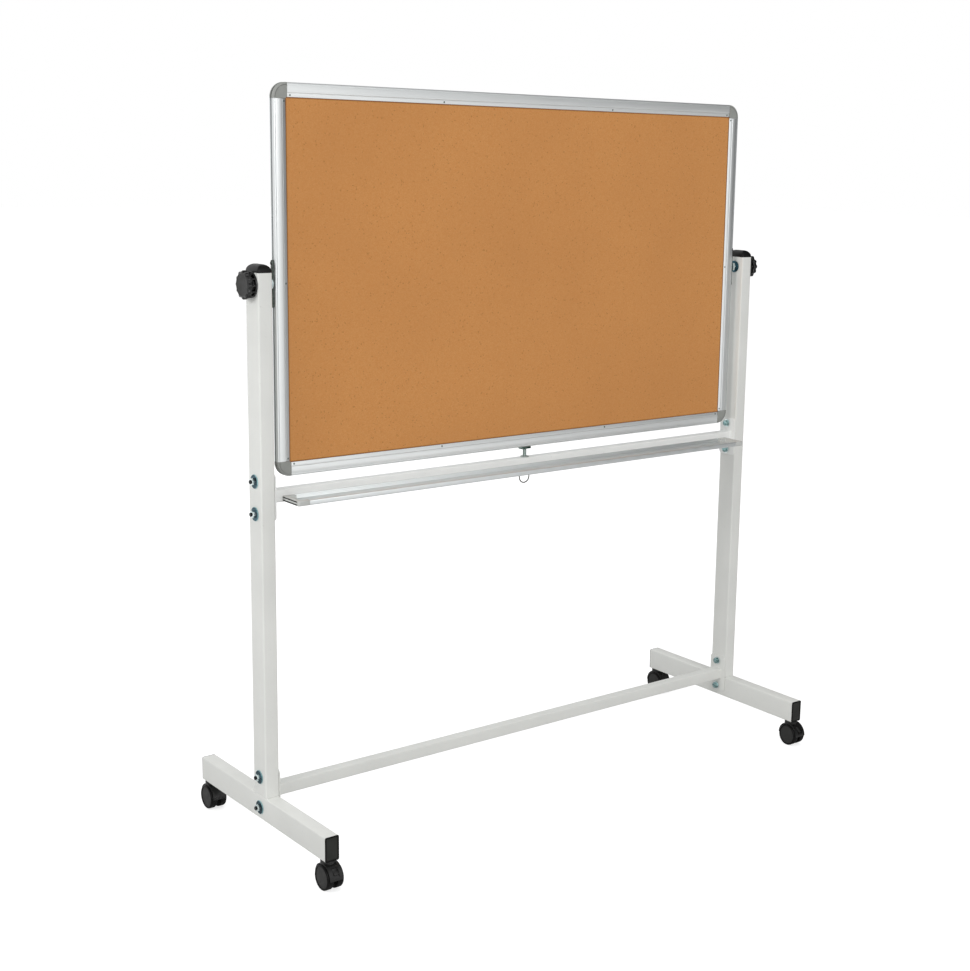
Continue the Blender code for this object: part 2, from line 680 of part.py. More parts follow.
def build_tray_cap(name, sign, bottom, parent, material):
    """One solid end cap with two slots across its end face."""
    shape = box_shape((0, -TRAY_DEPTH, 0), (TRAY_CAP_LENGTH, 0, TRAY_HEIGHT))
    end_edges = [
        edge
        for edge in shape.edges
        if all(abs(vert.co.x - TRAY_CAP_LENGTH) < SEAT_GAP for vert in edge.verts)
        or all(abs(vert.co.y + TRAY_DEPTH) < SEAT_GAP for vert in edge.verts)
    ]
    bmesh.ops.bevel(shape, geom=end_edges, offset=TRAY_LIP_RADIUS, segments=EDGE_STEPS, affect="EDGES")
    if sign < 0:
        shape = move_shape(shape, Matrix.Scale(-1, 4, (1, 0, 0)))
    inner_x = tray_half_length() - TRAY_CAP_LENGTH
    cap = add_piece(name, shape, material, parent, (sign * inner_x, -tray_rear(), bottom))
    cuts = []
    margin = TRAY_LIP_RADIUS + TRAY_WALL
    for level in (-1, 1):
        middle = TRAY_HEIGHT / 2 + level * TRAY_SLOT_SPACING / 2
        near = sign * (TRAY_CAP_LENGTH - TRAY_SLOT_DEPTH)
        far = sign * (TRAY_CAP_LENGTH + OVERRUN)
        low = (min(near, far), margin - TRAY_DEPTH, middle - TRAY_SLOT_HEIGHT / 2)
        high = (max(near, far), -margin, middle + TRAY_SLOT_HEIGHT / 2)
        cuts.append(box_shape(low, high))
    apply_tool(cap, "slots", join_shapes(*cuts), "DIFFERENCE")


# Spring latch

def pin_tip_height():
    """Gives the height of the latch pin's tip at rest, just under the strike plate."""
    return BOARD_BOTTOM - SEAT_GAP - STRIKE_THICKNESS - PIN_TIP_GAP


def housing_bottom():
    """Gives the height of the latch housing's lower end."""
    return UPPER_BAR_HEIGHT - BAR_HALF - HOUSING_FOOT


def collar_top():
    """Gives the height of the top of the pin's collar at rest."""
    return UPPER_BAR_TOP - HOUSING_NECK - SEAT_GAP


def spring_floor():
    """Gives the height of the ledge that the spring stands on."""
    return housing_bottom() + HOUSING_NECK


def eye_height():
    """Gives the height of the ring's hole in the pin at rest."""
    return housing_bottom() - EYE_RADIUS


def build_latch_housing(parent, finishes):
    """The bushing in the crossbar that guides the pin and holds its spring."""
    neck = PIN_RADIUS + PIN_CLEARANCE
    flange_bottom = UPPER_BAR_TOP + SEAT_GAP
    flange_top = flange_bottom + HOUSING_FLANGE_HEIGHT
    profile = [
        (neck, housing_bottom()),
        (HOUSING_RADIUS, housing_bottom()),
        (HOUSING_RADIUS, flange_bottom),
        (HOUSING_FLANGE_RADIUS, flange_bottom),
        (HOUSING_FLANGE_RADIUS, flange_top),
        (neck, flange_top),
        (neck, UPPER_BAR_TOP - HOUSING_NECK),
        (HOUSING_BORE, UPPER_BAR_TOP - HOUSING_NECK),
        (HOUSING_BORE, spring_floor()),
        (neck, spring_floor()),
    ]
    add_piece("latch_housing", lathe(profile, ROUND_STEPS // 2), finishes["zinc"], parent)


def spring_points():
    """Gives the points along the spring's wire, from its foot up."""
    bottom = spring_floor() + SEAT_GAP + SPRING_WIRE_RADIUS
    top = collar_top() - PIN_COLLAR_HEIGHT - SEAT_GAP - SPRING_WIRE_RADIUS
    coil_radius = (HOUSING_BORE + PIN_RADIUS) / 2
    count = SPRING_TURNS * SPRING_STEPS
    points = []
    for index in range(count + 1):
        angle = index / SPRING_STEPS * math.tau
        height = bottom + (top - bottom) * index / count
        points.append(Vector((coil_radius * math.cos(angle), coil_radius * math.sin(angle), height)))
    return points


def least_coil_gap(points):
    """Measures the least gap between the wire of one turn and the next, on the points."""
    half_turn = SPRING_STEPS // 2
    distances = [
        (here - there).length
        for index, here in enumerate(points)
        for there in points[index + half_turn:]
    ]
    return min(distances) - 2 * SPRING_WIRE_RADIUS


def build_latch_spring(parent, finishes):
    """The coil spring under the pin's collar, one unbroken wire."""
    points = spring_points()
    print(f"least gap between the latch spring's turns: {least_coil_gap(points):.4f} m")
    curve = bpy.data.curves.new("latch_spring", "CURVE")
    curve.dimensions = "3D"
    curve.bevel_depth = SPRING_WIRE_RADIUS
    curve.bevel_resolution = 1
    curve.use_fill_caps = True
    spline = curve.splines.new("POLY")
    spline.points.add(len(points) - 1)
    for target, point in zip(spline.points, points):
        target.co = (*point, 1.0)
    curve.materials.append(finishes["spring_steel"])
    spring = bpy.data.objects.new("latch_spring", curve)
    bpy.context.scene.collection.objects.link(spring)
    spring.parent = parent


def build_latch_pin(parent, finishes):
    """The sliding pin with its collar, and a flat eye at its lower end; z = 0 is the eye's hole."""
    tip = pin_tip_height() - eye_height()
    collar_high = collar_top() - eye_height()
    collar_low = collar_high - PIN_COLLAR_HEIGHT
    shank_low = EYE_HOLE_RADIUS + EYE_WALL / 3
    chamfer = PIN_RADIUS / 3
    profile = [
        (0, shank_low),
        (PIN_RADIUS, shank_low),
        (PIN_RADIUS, collar_low),
        (PIN_COLLAR_RADIUS, collar_low),
        (PIN_COLLAR_RADIUS, collar_high),
        (PIN_RADIUS, collar_high),
        (PIN_RADIUS, tip - chamfer),
        (PIN_RADIUS - chamfer, tip),
        (0, tip),
    ]
    pin = add_piece("latch_pin", lathe(profile, HOLE_STEPS), finishes["zinc"], parent)
    outline = circle_points(EYE_RADIUS, ROUND_STEPS // 2)
    eye = move_shape(prism([outline], -EYE_THICKNESS / 2, EYE_THICKNESS / 2), along_x())
    apply_tool(pin, "eye", eye, "UNION")
    hole = cylinder(EYE_HOLE_RADIUS, -EYE_THICKNESS / 2 - OVERRUN, EYE_THICKNESS / 2 + OVERRUN)
    apply_tool(pin, "eye_hole", move_shape(hole, along_x()), "DIFFERENCE")


def build_pull_ring(parent, finishes):
    """The wire ring that hangs from the pin's eye; z = 0 is the wire in the eye."""
    shape = bmesh.new()
    section = circle_points(RING_WIRE_RADIUS, WIRE_STEPS)
    wire = [shape.verts.new((RING_RADIUS + x, 0, y)) for x, y in section]
    edges = [shape.edges.new(pair) for pair in zip(wire, wire[1:] + wire[:1])]
    shape = spin_round(shape, wire + edges, ROUND_STEPS)
    upright = shift(z=-RING_RADIUS) @ Matrix.Rotation(math.pi / 2, 4, "X")
    add_piece("pull_ring", move_shape(shape, upright), finishes["spring_steel"], parent)


# Board

def rail_section():
    """Gives the rail's outer outline and its hollow, as (inward, back) points from the outer edge."""
    half = RAIL_THICKNESS / 2
    radius = min(RAIL_EDGE_RADIUS, half - (SIDE_GROOVE_SPACING + SIDE_GROOVE_WIDTH) / 2)
    groove = SIDE_GROOVE_WIDTH / 2
    lip_front = half - LIP_SETBACK
    quarter = [step / EDGE_STEPS * math.pi / 2 for step in range(EDGE_STEPS + 1)]
    front = [
        (radius - radius * math.cos(angle), radius - half - radius * math.sin(angle)) for angle in quarter
    ]
    front += [(RAIL_FACE, -half), (RAIL_FACE, -lip_front), (RAIL_DEPTH, -lip_front)]
    front += [(RAIL_DEPTH, -SLOT_HALF), (PANEL_INSET - SEAT_GAP, -SLOT_HALF)]
    back = [(inward, -across) for inward, across in reversed(front)]
    side = []
    for middle in (SIDE_GROOVE_SPACING / 2, -SIDE_GROOVE_SPACING / 2):
        side += [(0, middle + groove), (SIDE_GROOVE_DEPTH, middle), (0, middle - groove)]
    hollow_low = RAIL_WALL
    hollow_high = PANEL_INSET - SEAT_GAP - RAIL_WALL
    hollow_half = half - RAIL_WALL
    hollow = [
        (hollow_low, -hollow_half + radius),
        (hollow_low + radius, -hollow_half),
        (hollow_high, -hollow_half),
        (hollow_high, hollow_half),
        (hollow_low + radius, hollow_half),
        (hollow_low, hollow_half - radius),
    ]
    return [front + back + side, hollow]


def rail_frames():
    """Gives each rail's name, the turn that carries its section there, and its half length.

    A rail is a prism along Z whose section's x runs inward from the frame's outer edge and whose y runs
    back; the turn then lays it along its side of the frame, about the board's middle.
    """
    half_width = BOARD_WIDTH / 2
    half_height = BOARD_HEIGHT / 2
    level = half_width - CORNER_REACH - SEAT_GAP
    upright = half_height - CORNER_REACH - SEAT_GAP
    quarter = math.pi / 2
    return [
        ("left_rail", shift(x=-half_width), upright),
        ("right_rail", Matrix.Rotation(math.pi, 4, "Y") @ shift(x=-half_width), upright),
        ("bottom_rail", Matrix.Rotation(-quarter, 4, "Y") @ shift(x=-half_height), level),
        ("top_rail", Matrix.Rotation(quarter, 4, "Y") @ shift(x=-half_height), level),
    ]


def build_rails(parent, finishes):
    """Four hollow aluminium rails; the upright ones are drilled for the pivot plate's screws."""
    for name, matrix, half in rail_frames():
        shape = move_shape(prism(rail_section(), -half, half), matrix)
        rail = add_piece(name, shape, finishes["frame_aluminium"], parent)
        if name in ("left_rail", "right_rail"):
            sign = SIDES[name.split("_")[0]]
            drills = []
            for end_sign in ENDS.values():
                hole = cylinder(PIVOT_SCREW_RADIUS + BOLT_HOLE_CLEARANCE, -OVERRUN, RAIL_WALL + OVERRUN)
                matrix = shift(x=sign * BOARD_WIDTH / 2, z=end_sign * PIVOT_SCREW_SPACING / 2)
                turn = Matrix.Rotation(-sign * math.pi / 2, 4, "Y")
                drills.append(move_shape(hole, matrix @ turn))
            apply_tool(rail, "screw_holes", join_shapes(*drills), "DIFFERENCE")


def corner_outline():
    """Gives the corner cap's outline from the frame's outer corner: x and y both run inward."""
    radius = min(CORNER_RADIUS, CORNER_REACH)
    points = []
    for step in range(CORNER_STEPS + 1):
        angle = math.pi + step / CORNER_STEPS * math.pi / 2
        points.append((radius + radius * math.cos(angle), radius + radius * math.sin(angle)))
    points += [(CORNER_REACH, 0), (CORNER_REACH, RAIL_DEPTH), (RAIL_DEPTH, RAIL_DEPTH)]
    points += [(RAIL_DEPTH, CORNER_REACH), (0, CORNER_REACH)]
    return points


def corner_cap_shape():
    """Makes one corner cap at its own outer corner, with z across the frame, its outer edges rounded."""
    half = RAIL_THICKNESS / 2
    shape = prism([corner_outline()], -half, half)
    inner = RAIL_DEPTH - SEAT_GAP
    outer_edges = []
    for edge in shape.edges:
        first, second = (vert.co for vert in edge.verts)
        level = abs(first.z - second.z) < SEAT_GAP and abs(abs(first.z) - half) < SEAT_GAP
        inside = any(min(point.x, point.y) >= inner for point in (first, second))
        along_end = all(point.x > CORNER_REACH - SEAT_GAP for point in (first, second))
        along_end = along_end or all(point.y > CORNER_REACH - SEAT_GAP for point in (first, second))
        on_rim = len({round(face.normal.z) for face in edge.link_faces}) > 1
        if level and on_rim and not inside and not along_end:
            outer_edges.append(edge)
    bmesh.ops.bevel(shape, geom=outer_edges, offset=RAIL_EDGE_RADIUS, segments=EDGE_STEPS, affect="EDGES")
    return shape


def build_corner_caps(parent, finishes):
    """Four plastic corners whose tongues enter the rails, pocketed for the panel's corner."""
    half = RAIL_THICKNESS / 2
    clearance = CAP_PLUG_CLEARANCE
    low = RAIL_WALL + clearance
    high = PANEL_INSET - SEAT_GAP - RAIL_WALL - clearance
    flat = half - RAIL_WALL - RAIL_EDGE_RADIUS
    pocket = PANEL_INSET - SEAT_GAP
    far = CORNER_REACH + OVERRUN
    tip = CORNER_REACH + TONGUE_LENGTH
    for vertical, up in (("top", 1), ("bottom", -1)):
        for side, sign in SIDES.items():
            matrix = Matrix(
                (
                    (-sign, 0, 0, sign * BOARD_WIDTH / 2),
                    (0, 0, 1, 0),
                    (0, -up, 0, up * BOARD_HEIGHT / 2),
                    (0, 0, 0, 1),
                )
            )
            shape = move_shape(corner_cap_shape(), matrix)
            cap = add_piece(f"{vertical}_{side}_corner", shape, finishes["corner_grey"], parent)
            room = move_shape(box_shape((pocket, pocket, -SLOT_HALF), (far, far, SLOT_HALF)), matrix)
            apply_tool(cap, "pocket", room, "DIFFERENCE")
            level = box_shape((CORNER_REACH - WELD_LAP, low, -flat), (tip, high, flat))
            upright = box_shape((low, CORNER_REACH - WELD_LAP, -flat), (high, tip, flat))
            apply_tool(cap, "tongues", move_shape(join_shapes(level, upright), matrix), "UNION")


def build_panel(parent, finishes):
    """The cork sheet, the core behind it and the dry-erase sheet on the back."""
    half_width = BOARD_WIDTH / 2 - PANEL_INSET
    half_height = BOARD_HEIGHT / 2 - PANEL_INSET
    front = -PANEL_THICKNESS / 2
    layers = [
        ("cork_sheet", CORK_THICKNESS, "cork"),
        ("core_board", CORE_THICKNESS, "core_board"),
        ("whiteboard_sheet", WHITEBOARD_THICKNESS, "whiteboard"),
    ]
    for name, thickness, finish in layers:
        shape = box_shape((-half_width, front, -half_height), (half_width, front + thickness, half_height))
        add_piece(name, shape, finishes[finish], parent)
        front += thickness + SEAT_GAP


def build_strike(parent, finishes):
    """The plate under the bottom rail that the latch pin meets, with its hole."""
    outline = rounded_rectangle(STRIKE_LENGTH, STRIKE_WIDTH, PIN_RADIUS / 2, EDGE_STEPS)
    hole = circle_points(PIN_RADIUS + BOLT_HOLE_CLEARANCE, HOLE_STEPS)
    top = -BOARD_HEIGHT / 2 - SEAT_GAP
    shape = prism([outline, hole], top - STRIKE_THICKNESS, top)
    add_piece("strike_plate", shape, finishes["zinc"], parent)


def build_pivots(parent, finishes):
    """On each side, the plate with its stud and screws, and the nut that spaces it from the post."""
    plate_end = SEAT_GAP + PIVOT_PLATE_THICKNESS
    stud_end = BOARD_SIDE_GAP + TUBE_WIDTH + SEAT_GAP + STUD_ENGAGEMENT
    nut_start = plate_end + SEAT_GAP
    washer_end = BOARD_SIDE_GAP - SEAT_GAP
    washer_start = washer_end - PIVOT_WASHER_THICKNESS
    bore_radius = STUD_RADIUS + BOLT_HOLE_CLEARANCE
    for side, sign in SIDES.items():
        outward = Matrix.Rotation(sign * math.pi / 2, 4, "Y")
        place = (sign * BOARD_WIDTH / 2, 0, 0)
        outline = rounded_rectangle(PIVOT_PLATE_HEIGHT, PIVOT_PLATE_WIDTH, PIVOT_SCREW_RADIUS, EDGE_STEPS)
        plate = add_piece(
            f"{side}_pivot_plate",
            move_shape(prism([outline], SEAT_GAP, plate_end), outward),
            finishes["zinc"],
            parent,
            place,
        )
        stud = cylinder(STUD_RADIUS, plate_end - WELD_LAP, stud_end, ROUND_STEPS // 2)
        apply_tool(plate, "stud", move_shape(stud, outward), "UNION")
        for rank, end_sign in ENDS.items():
            head_top = plate_end + PIVOT_SCREW_HEAD_HEIGHT
            profile = [
                (0, -RAIL_WALL - SEAT_GAP),
                (PIVOT_SCREW_RADIUS, -RAIL_WALL - SEAT_GAP),
                (PIVOT_SCREW_RADIUS, plate_end - WELD_LAP),
                (PIVOT_SCREW_HEAD_RADIUS, plate_end - WELD_LAP),
                (PIVOT_SCREW_HEAD_RADIUS, plate_end + PIVOT_SCREW_HEAD_HEIGHT / 2),
                (PIVOT_SCREW_HEAD_RADIUS / 2, head_top),
                (0, head_top),
            ]
            screw = move_shape(lathe(profile, HOLE_STEPS), shift(x=end_sign * PIVOT_SCREW_SPACING / 2))
            apply_tool(plate, f"{rank}_screw", move_shape(screw, outward), "UNION")
        hexagon = hexagon_points(PIVOT_NUT_FLATS, ROUND_STEPS)
        washer = circle_points(PIVOT_WASHER_RADIUS, ROUND_STEPS)
        rings = [(hexagon, nut_start), (hexagon, washer_start)]
        rings += [(washer, washer_start), (washer, washer_end)]
        nut = add_piece(
            f"{side}_pivot_nut", move_shape(loft(rings), outward), finishes["zinc"], parent, place
        )
        bore = cylinder(bore_radius, nut_start - OVERRUN, washer_end + OVERRUN)
        apply_tool(nut, "bore", move_shape(bore, outward), "DIFFERENCE")


def knob_ring(radius, lobe_depth):
    """Gives the knob's outline at one height, with its finger lobes."""
    count = KNOB_LOBES * KNOB_STEPS_PER_LOBE
    points = []
    for step in range(count):
        angle = step / count * math.tau
        reach = radius - lobe_depth * (1 - math.cos(KNOB_LOBES * angle)) / 2
        points.append((reach * math.cos(angle), reach * math.sin(angle)))
    return points


def build_knob(name, sign, parent, finishes):
    """One lobed clamp knob; z = 0 of its own shape is the post's outer face."""
    top = KNOB_HEIGHT + SEAT_GAP
    flange_top = SEAT_GAP + KNOB_FLANGE_HEIGHT
    body_bottom = top - KNOB_BODY_HEIGHT
    inner = KNOB_RADIUS - KNOB_EDGE
    rings = [
        (knob_ring(KNOB_FLANGE_RADIUS, 0.0), SEAT_GAP),
        (knob_ring(KNOB_FLANGE_RADIUS, 0.0), flange_top),
        (knob_ring(KNOB_NECK_RADIUS, 0.0), flange_top),
        (knob_ring(KNOB_NECK_RADIUS, 0.0), body_bottom),
        (knob_ring(inner, KNOB_LOBE_DEPTH), body_bottom),
        (knob_ring(KNOB_RADIUS, KNOB_LOBE_DEPTH), body_bottom + KNOB_EDGE),
        (knob_ring(KNOB_RADIUS, KNOB_LOBE_DEPTH), top - KNOB_EDGE),
        (knob_ring(inner, KNOB_LOBE_DEPTH), top),
    ]
    outward = Matrix.Rotation(sign * math.pi / 2, 4, "Y")
    knob = add_piece(name, move_shape(loft(rings), outward), finishes["black_plastic"], parent)
    bore_end = SEAT_GAP + STUD_ENGAGEMENT + SEAT_GAP
    bore = cylinder(STUD_RADIUS + BOLT_HOLE_CLEARANCE, -OVERRUN, bore_end, ROUND_STEPS // 2)
    apply_tool(knob, "bore", move_shape(bore, outward), "DIFFERENCE")


# Casters

def hood_shape():
    """Makes the solid upper half of a hood; x = 0, y = 0 is the stem's axis, z = 0 the axle's height."""
    half_width = WEB_THICKNESS / 2 + WHEEL_SIDE_GAP + WHEEL_WIDTH
    outline = [
        (-HOOD_RADIUS * math.sin(angle), HOOD_RADIUS * math.cos(angle))
        for angle in (step / ROUND_STEPS * math.tau for step in range(ROUND_STEPS // 2 + 1))
    ]
    return move_shape(prism([outline], -half_width, half_width), shift(y=-CASTER_TRAIL) @ along_x())


def stem_shape():
    """Makes the collar and stem above a hood."""
    top = COLLAR_TOP - WHEEL_RADIUS
    chamfer = STEM_RADIUS / 4
    profile = [
        (0, WHEEL_RADIUS / 2),
        (CASTER_COLLAR_RADIUS, WHEEL_RADIUS / 2),
        (CASTER_COLLAR_RADIUS, top),
        (STEM_RADIUS, top),
        (STEM_RADIUS, top + STEM_LENGTH - chamfer),
        (STEM_RADIUS - chamfer, top + STEM_LENGTH),
        (0, top + STEM_LENGTH),
    ]
    return lathe(profile, ROUND_STEPS)


def wheel_room_shape():
    """Makes the two round spaces that the wheels turn in."""
    spaces = []
    inner = WEB_THICKNESS / 2
    outer = inner + WHEEL_SIDE_GAP + WHEEL_WIDTH + OVERRUN
    for sign in SIDES.values():
        low, high = sorted((sign * inner, sign * outer))
        space = cylinder(WHEEL_RADIUS + HOOD_CLEARANCE, low, high, ROUND_STEPS)
        spaces.append(move_shape(space, shift(y=-CASTER_TRAIL) @ along_x()))
    return join_shapes(*spaces)


def axle_shape():
    """Makes the axle with the boss that the web ends in."""
    half_web = WEB_THICKNESS / 2
    half_axle = half_web + WHEEL_SIDE_GAP + WHEEL_WIDTH - AXLE_END_COVER
    profile = [
        (0, -half_axle),
        (AXLE_RADIUS, -half_axle),
        (AXLE_RADIUS, -half_web),
        (BOSS_RADIUS, -half_web),
        (BOSS_RADIUS, half_web),
        (AXLE_RADIUS, half_web),
        (AXLE_RADIUS, half_axle),
        (0, half_axle),
    ]
    return move_shape(lathe(profile, HOLE_STEPS), shift(y=-CASTER_TRAIL) @ along_x())


def lever_pivot():
    """Gives the brake lever's axis, as (y, z) from the stem's axis and the axle's height."""
    forward = LEVER_REACH * math.cos(LEVER_PIVOT_ANGLE)
    return (-CASTER_TRAIL - forward, LEVER_REACH * math.sin(LEVER_PIVOT_ANGLE))


def lever_turn():
    """Gives the turn that lays the lever's own -Y along the hood's tangent, forward and down."""
    return Matrix.Rotation(math.pi / 2 - LEVER_PIVOT_ANGLE, 4, "X")


def lever_rooms():
    """Makes the round notch and the two flat ones in which the brake lever sits, lifts and is pressed."""
    half = LEVER_WIDTH / 2 + LEVER_GAP
    low = (-half, -LEVER_LENGTH - LEVER_LIFT_ROOM, -LEVER_THICKNESS / 2 - LEVER_GAP)
    high = (half, 0, LEVER_LIFT_ROOM)
    pivot_y, pivot_z = lever_pivot()
    place = shift(y=pivot_y, z=pivot_z)
    pressed = place @ Matrix.Rotation(LEVER_PRESS_ANGLE, 4, "X") @ lever_turn()
    barrel = cylinder(LEVER_BARREL_RADIUS + LEVER_GAP, -half, half)
    return {
        "barrel_room": move_shape(barrel, place @ along_x()),
        "lever_room": move_shape(box_shape(low, high), place @ lever_turn()),
        "press_room": move_shape(box_shape(low, high), pressed),
    }


def build_hood(name, braked, parent, finishes):
    """One caster hood with collar, stem, web and axle; the braked ones are notched for a lever."""
    hood = add_piece(name, hood_shape(), finishes["black_plastic"], parent, (0, 0, WHEEL_RADIUS))
    apply_tool(hood, "stem", stem_shape(), "UNION")
    apply_tool(hood, "wheel_room", wheel_room_shape(), "DIFFERENCE")
    if braked:
        for part, room in lever_rooms().items():
            apply_tool(hood, part, room, "DIFFERENCE")
    apply_tool(hood, "axle", axle_shape(), "UNION")


def build_wheel(name, sign, parent, finishes):
    """One wheel of a pair; z = 0 of its profile is the middle of the axle, and its outer face is dished."""
    inner = WEB_THICKNESS / 2 + WHEEL_SIDE_GAP
    outer = inner + WHEEL_WIDTH
    bore = AXLE_RADIUS + AXLE_CLEARANCE
    bore_end = outer - AXLE_END_COVER + AXLE_CLEARANCE
    edge = WHEEL_EDGE_RADIUS
    rim = WHEEL_RADIUS - WHEEL_RIM
    profile = [
        (0, bore_end),
        (bore, bore_end),
        (bore, inner),
        (WHEEL_RADIUS - edge, inner),
        (WHEEL_RADIUS, inner + edge),
        (WHEEL_RADIUS, outer - edge),
        (WHEEL_RADIUS - edge, outer),
        (rim, outer),
        (rim - WHEEL_DISH_DEPTH, outer - WHEEL_DISH_DEPTH),
        (0, outer - WHEEL_DISH_DEPTH),
    ]
    outward = Matrix.Rotation(sign * math.pi / 2, 4, "Y")
    add_piece(name, move_shape(lathe(profile), outward), finishes["wheel_black"], parent)


def build_lever(name, parent, finishes):
    """One brake lever: a barrel in the hood's notch and a flat tab that points forward."""
    half = LEVER_WIDTH / 2
    barrel = move_shape(cylinder(LEVER_BARREL_RADIUS, -half, half), along_x())
    lever = add_piece(name, barrel, finishes["black_plastic"], parent)
    outline = rounded_rectangle(LEVER_WIDTH, LEVER_LENGTH, LEVER_THICKNESS, EDGE_STEPS)
    tab = prism([outline], -LEVER_THICKNESS / 2, LEVER_THICKNESS / 2)
    apply_tool(lever, "tab", move_shape(tab, lever_turn() @ shift(y=-LEVER_LENGTH / 2)), "UNION")


def build_caster(side, end, parent, finishes):
    """One caster: its swivel axis, hood, two wheels, and a brake lever if it is a front one."""
    name = f"{end}_{side}"
    place = (SIDES[side] * POST_MIDDLE_X, ENDS[end] * STEM_Y, 0)
    swivel = make_empty(f"{name}_swivel_axis", parent, place)
    braked = end == "front"
    build_hood(f"{name}_hood", braked, swivel, finishes)
    axle = make_empty(f"{name}_axle", swivel, (0, -CASTER_TRAIL, WHEEL_RADIUS))
    for wheel_side, sign in SIDES.items():
        build_wheel(f"{name}_{wheel_side}_wheel", sign, axle, finishes)
    if braked:
        pivot_y, pivot_z = lever_pivot()
        hinge = make_empty(f"{name}_brake_axis", swivel, (0, pivot_y, WHEEL_RADIUS + pivot_z))
        build_lever(f"{name}_brake_lever", hinge, finishes)


def main():
    """Builds the whole object."""
    clear_scene()
    finishes = make_finishes()
    stand = make_empty("stand_frame", None, (0, POSTS_SETBACK, 0))
    build_posts(stand, finishes)
    build_post_caps(stand, finishes)
    build_feet(stand, finishes)
    build_foot_caps(stand, finishes)
    build_crossbars(stand, finishes)
    build_bar_bolts(stand, finishes)
    build_tray(stand, finishes)
    build_latch_housing(stand, finishes)
    build_latch_spring(stand, finishes)
    pin_axis = make_empty("latch_pin_axis", stand, (0, 0, eye_height()))
    build_latch_pin(pin_axis, finishes)
    ring_axis = make_empty("pull_ring_axis", pin_axis)
    build_pull_ring(ring_axis, finishes)
    board = make_empty("board_axis", stand, (0, 0, PIVOT_HEIGHT))
    build_rails(board, finishes)
    build_corner_caps(board, finishes)
    build_panel(board, finishes)
    build_strike(board, finishes)
    build_pivots(board, finishes)
    for side, sign in SIDES.items():
        knob_axis = make_empty(f"{side}_knob_axis", board, (sign * POST_OUTER_X, 0, 0))
        build_knob(f"{side}_knob", sign, knob_axis, finishes)
    for side in SIDES:
        for end in ENDS:
            build_caster(side, end, stand, finishes)


main()
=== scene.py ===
"""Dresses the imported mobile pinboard: its stand, turning board, latch, knobs and casters, in a plain studio.

Sizes are millimetres until a mesh or a matrix is made of them; the studio alone is in metres. x runs to the
right along the board, y to its back and z up.
"""

import json
import logging
import math
from contextlib import contextmanager
from dataclasses import dataclass
from enum import Enum
from functools import partial
from typing import Any, Callable, Iterator, Sequence

import bmesh
import bpy
from mathutils import Matrix, Vector

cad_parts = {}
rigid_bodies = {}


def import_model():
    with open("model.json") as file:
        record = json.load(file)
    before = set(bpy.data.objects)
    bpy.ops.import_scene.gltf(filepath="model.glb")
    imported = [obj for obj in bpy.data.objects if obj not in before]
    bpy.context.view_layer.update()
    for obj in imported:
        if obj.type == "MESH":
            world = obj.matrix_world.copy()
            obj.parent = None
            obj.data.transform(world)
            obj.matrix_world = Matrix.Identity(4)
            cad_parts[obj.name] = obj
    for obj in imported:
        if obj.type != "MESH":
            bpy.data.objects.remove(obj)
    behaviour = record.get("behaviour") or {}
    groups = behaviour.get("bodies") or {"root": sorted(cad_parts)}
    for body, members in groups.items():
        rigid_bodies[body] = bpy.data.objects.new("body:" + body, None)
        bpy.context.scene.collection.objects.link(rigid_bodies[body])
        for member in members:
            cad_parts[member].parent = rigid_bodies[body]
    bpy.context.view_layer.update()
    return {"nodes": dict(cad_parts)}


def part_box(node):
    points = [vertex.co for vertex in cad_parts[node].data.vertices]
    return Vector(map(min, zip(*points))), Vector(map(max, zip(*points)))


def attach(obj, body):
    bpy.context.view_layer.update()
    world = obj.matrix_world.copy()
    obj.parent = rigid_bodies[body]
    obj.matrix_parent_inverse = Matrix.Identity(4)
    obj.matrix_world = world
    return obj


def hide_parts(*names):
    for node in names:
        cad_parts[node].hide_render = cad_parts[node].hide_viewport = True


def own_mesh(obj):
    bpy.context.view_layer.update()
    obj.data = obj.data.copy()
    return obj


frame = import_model()

LOG = logging.getLogger("pinboard")
MM = 0.001
# HAIR keeps two planes apart, and places closer than SLACK are the same; both are millimetres.
HAIR = 0.1
SLACK = 0.02
# How close the operators take points as one, in metres.
THIN = 0.001 * MM
DOUBLED = 0.002 * MM
MIDDLE_Y = 4.0
POST_X = 637.0
SIDES = {"left": -1, "right": 1}
ENDS = {"front": -1, "rear": 1}
Triple = tuple[float, float, float]
Shade = tuple[float, ...]
Profile = Sequence[tuple[float, float]]
Socket = bpy.types.NodeSocket
Tree = bpy.types.ShaderNodeTree
Face, Edge, Vert = bmesh.types.BMFace, bmesh.types.BMEdge, bmesh.types.BMVert
Inputs = dict[int | str, Any]
Test = Callable[[Any], bool]


class Axis(Enum):
    """A direction of the shared frame."""

    X = 0
    Y = 1
    Z = 2

    @property
    def vector(self) -> Vector:
        """The axis as a unit vector."""
        return Vector([float(index == self.value) for index in range(3)])


class Element(Enum):
    """What is picked in a mesh, with the name of its list there."""

    FACE = "faces"
    EDGE = "edges"
    VERT = "verts"


class Carving(Enum):
    """What a tool does to the piece that it meets."""

    CUT = "DIFFERENCE"
    KEEP = "INTERSECT"
    WELD = "UNION"


X, Y, Z = Axis
FACE, EDGE, VERT = Element


def srgb(colour: Shade, dim: float = 1.0) -> Shade:
    """Turns a colour as a screen shows it, 0 to 255, into the linear one that shaders take.

    Args:
        colour: Red, green and blue.
        dim: What the linear parts are multiplied by.

    Returns:
        The linear colour with a full alpha.
    """
    parts = [part / 255 for part in colour]
    linear = [part / 12.92 if part <= 0.04045 else ((part + 0.055) / 1.055) ** 2.4 for part in parts]
    return (*(part * dim for part in linear), 1.0)


def metres(*lengths: float) -> tuple[float, ...]:
    """Turns millimetres into metres."""
    return tuple(length * MM for length in lengths)


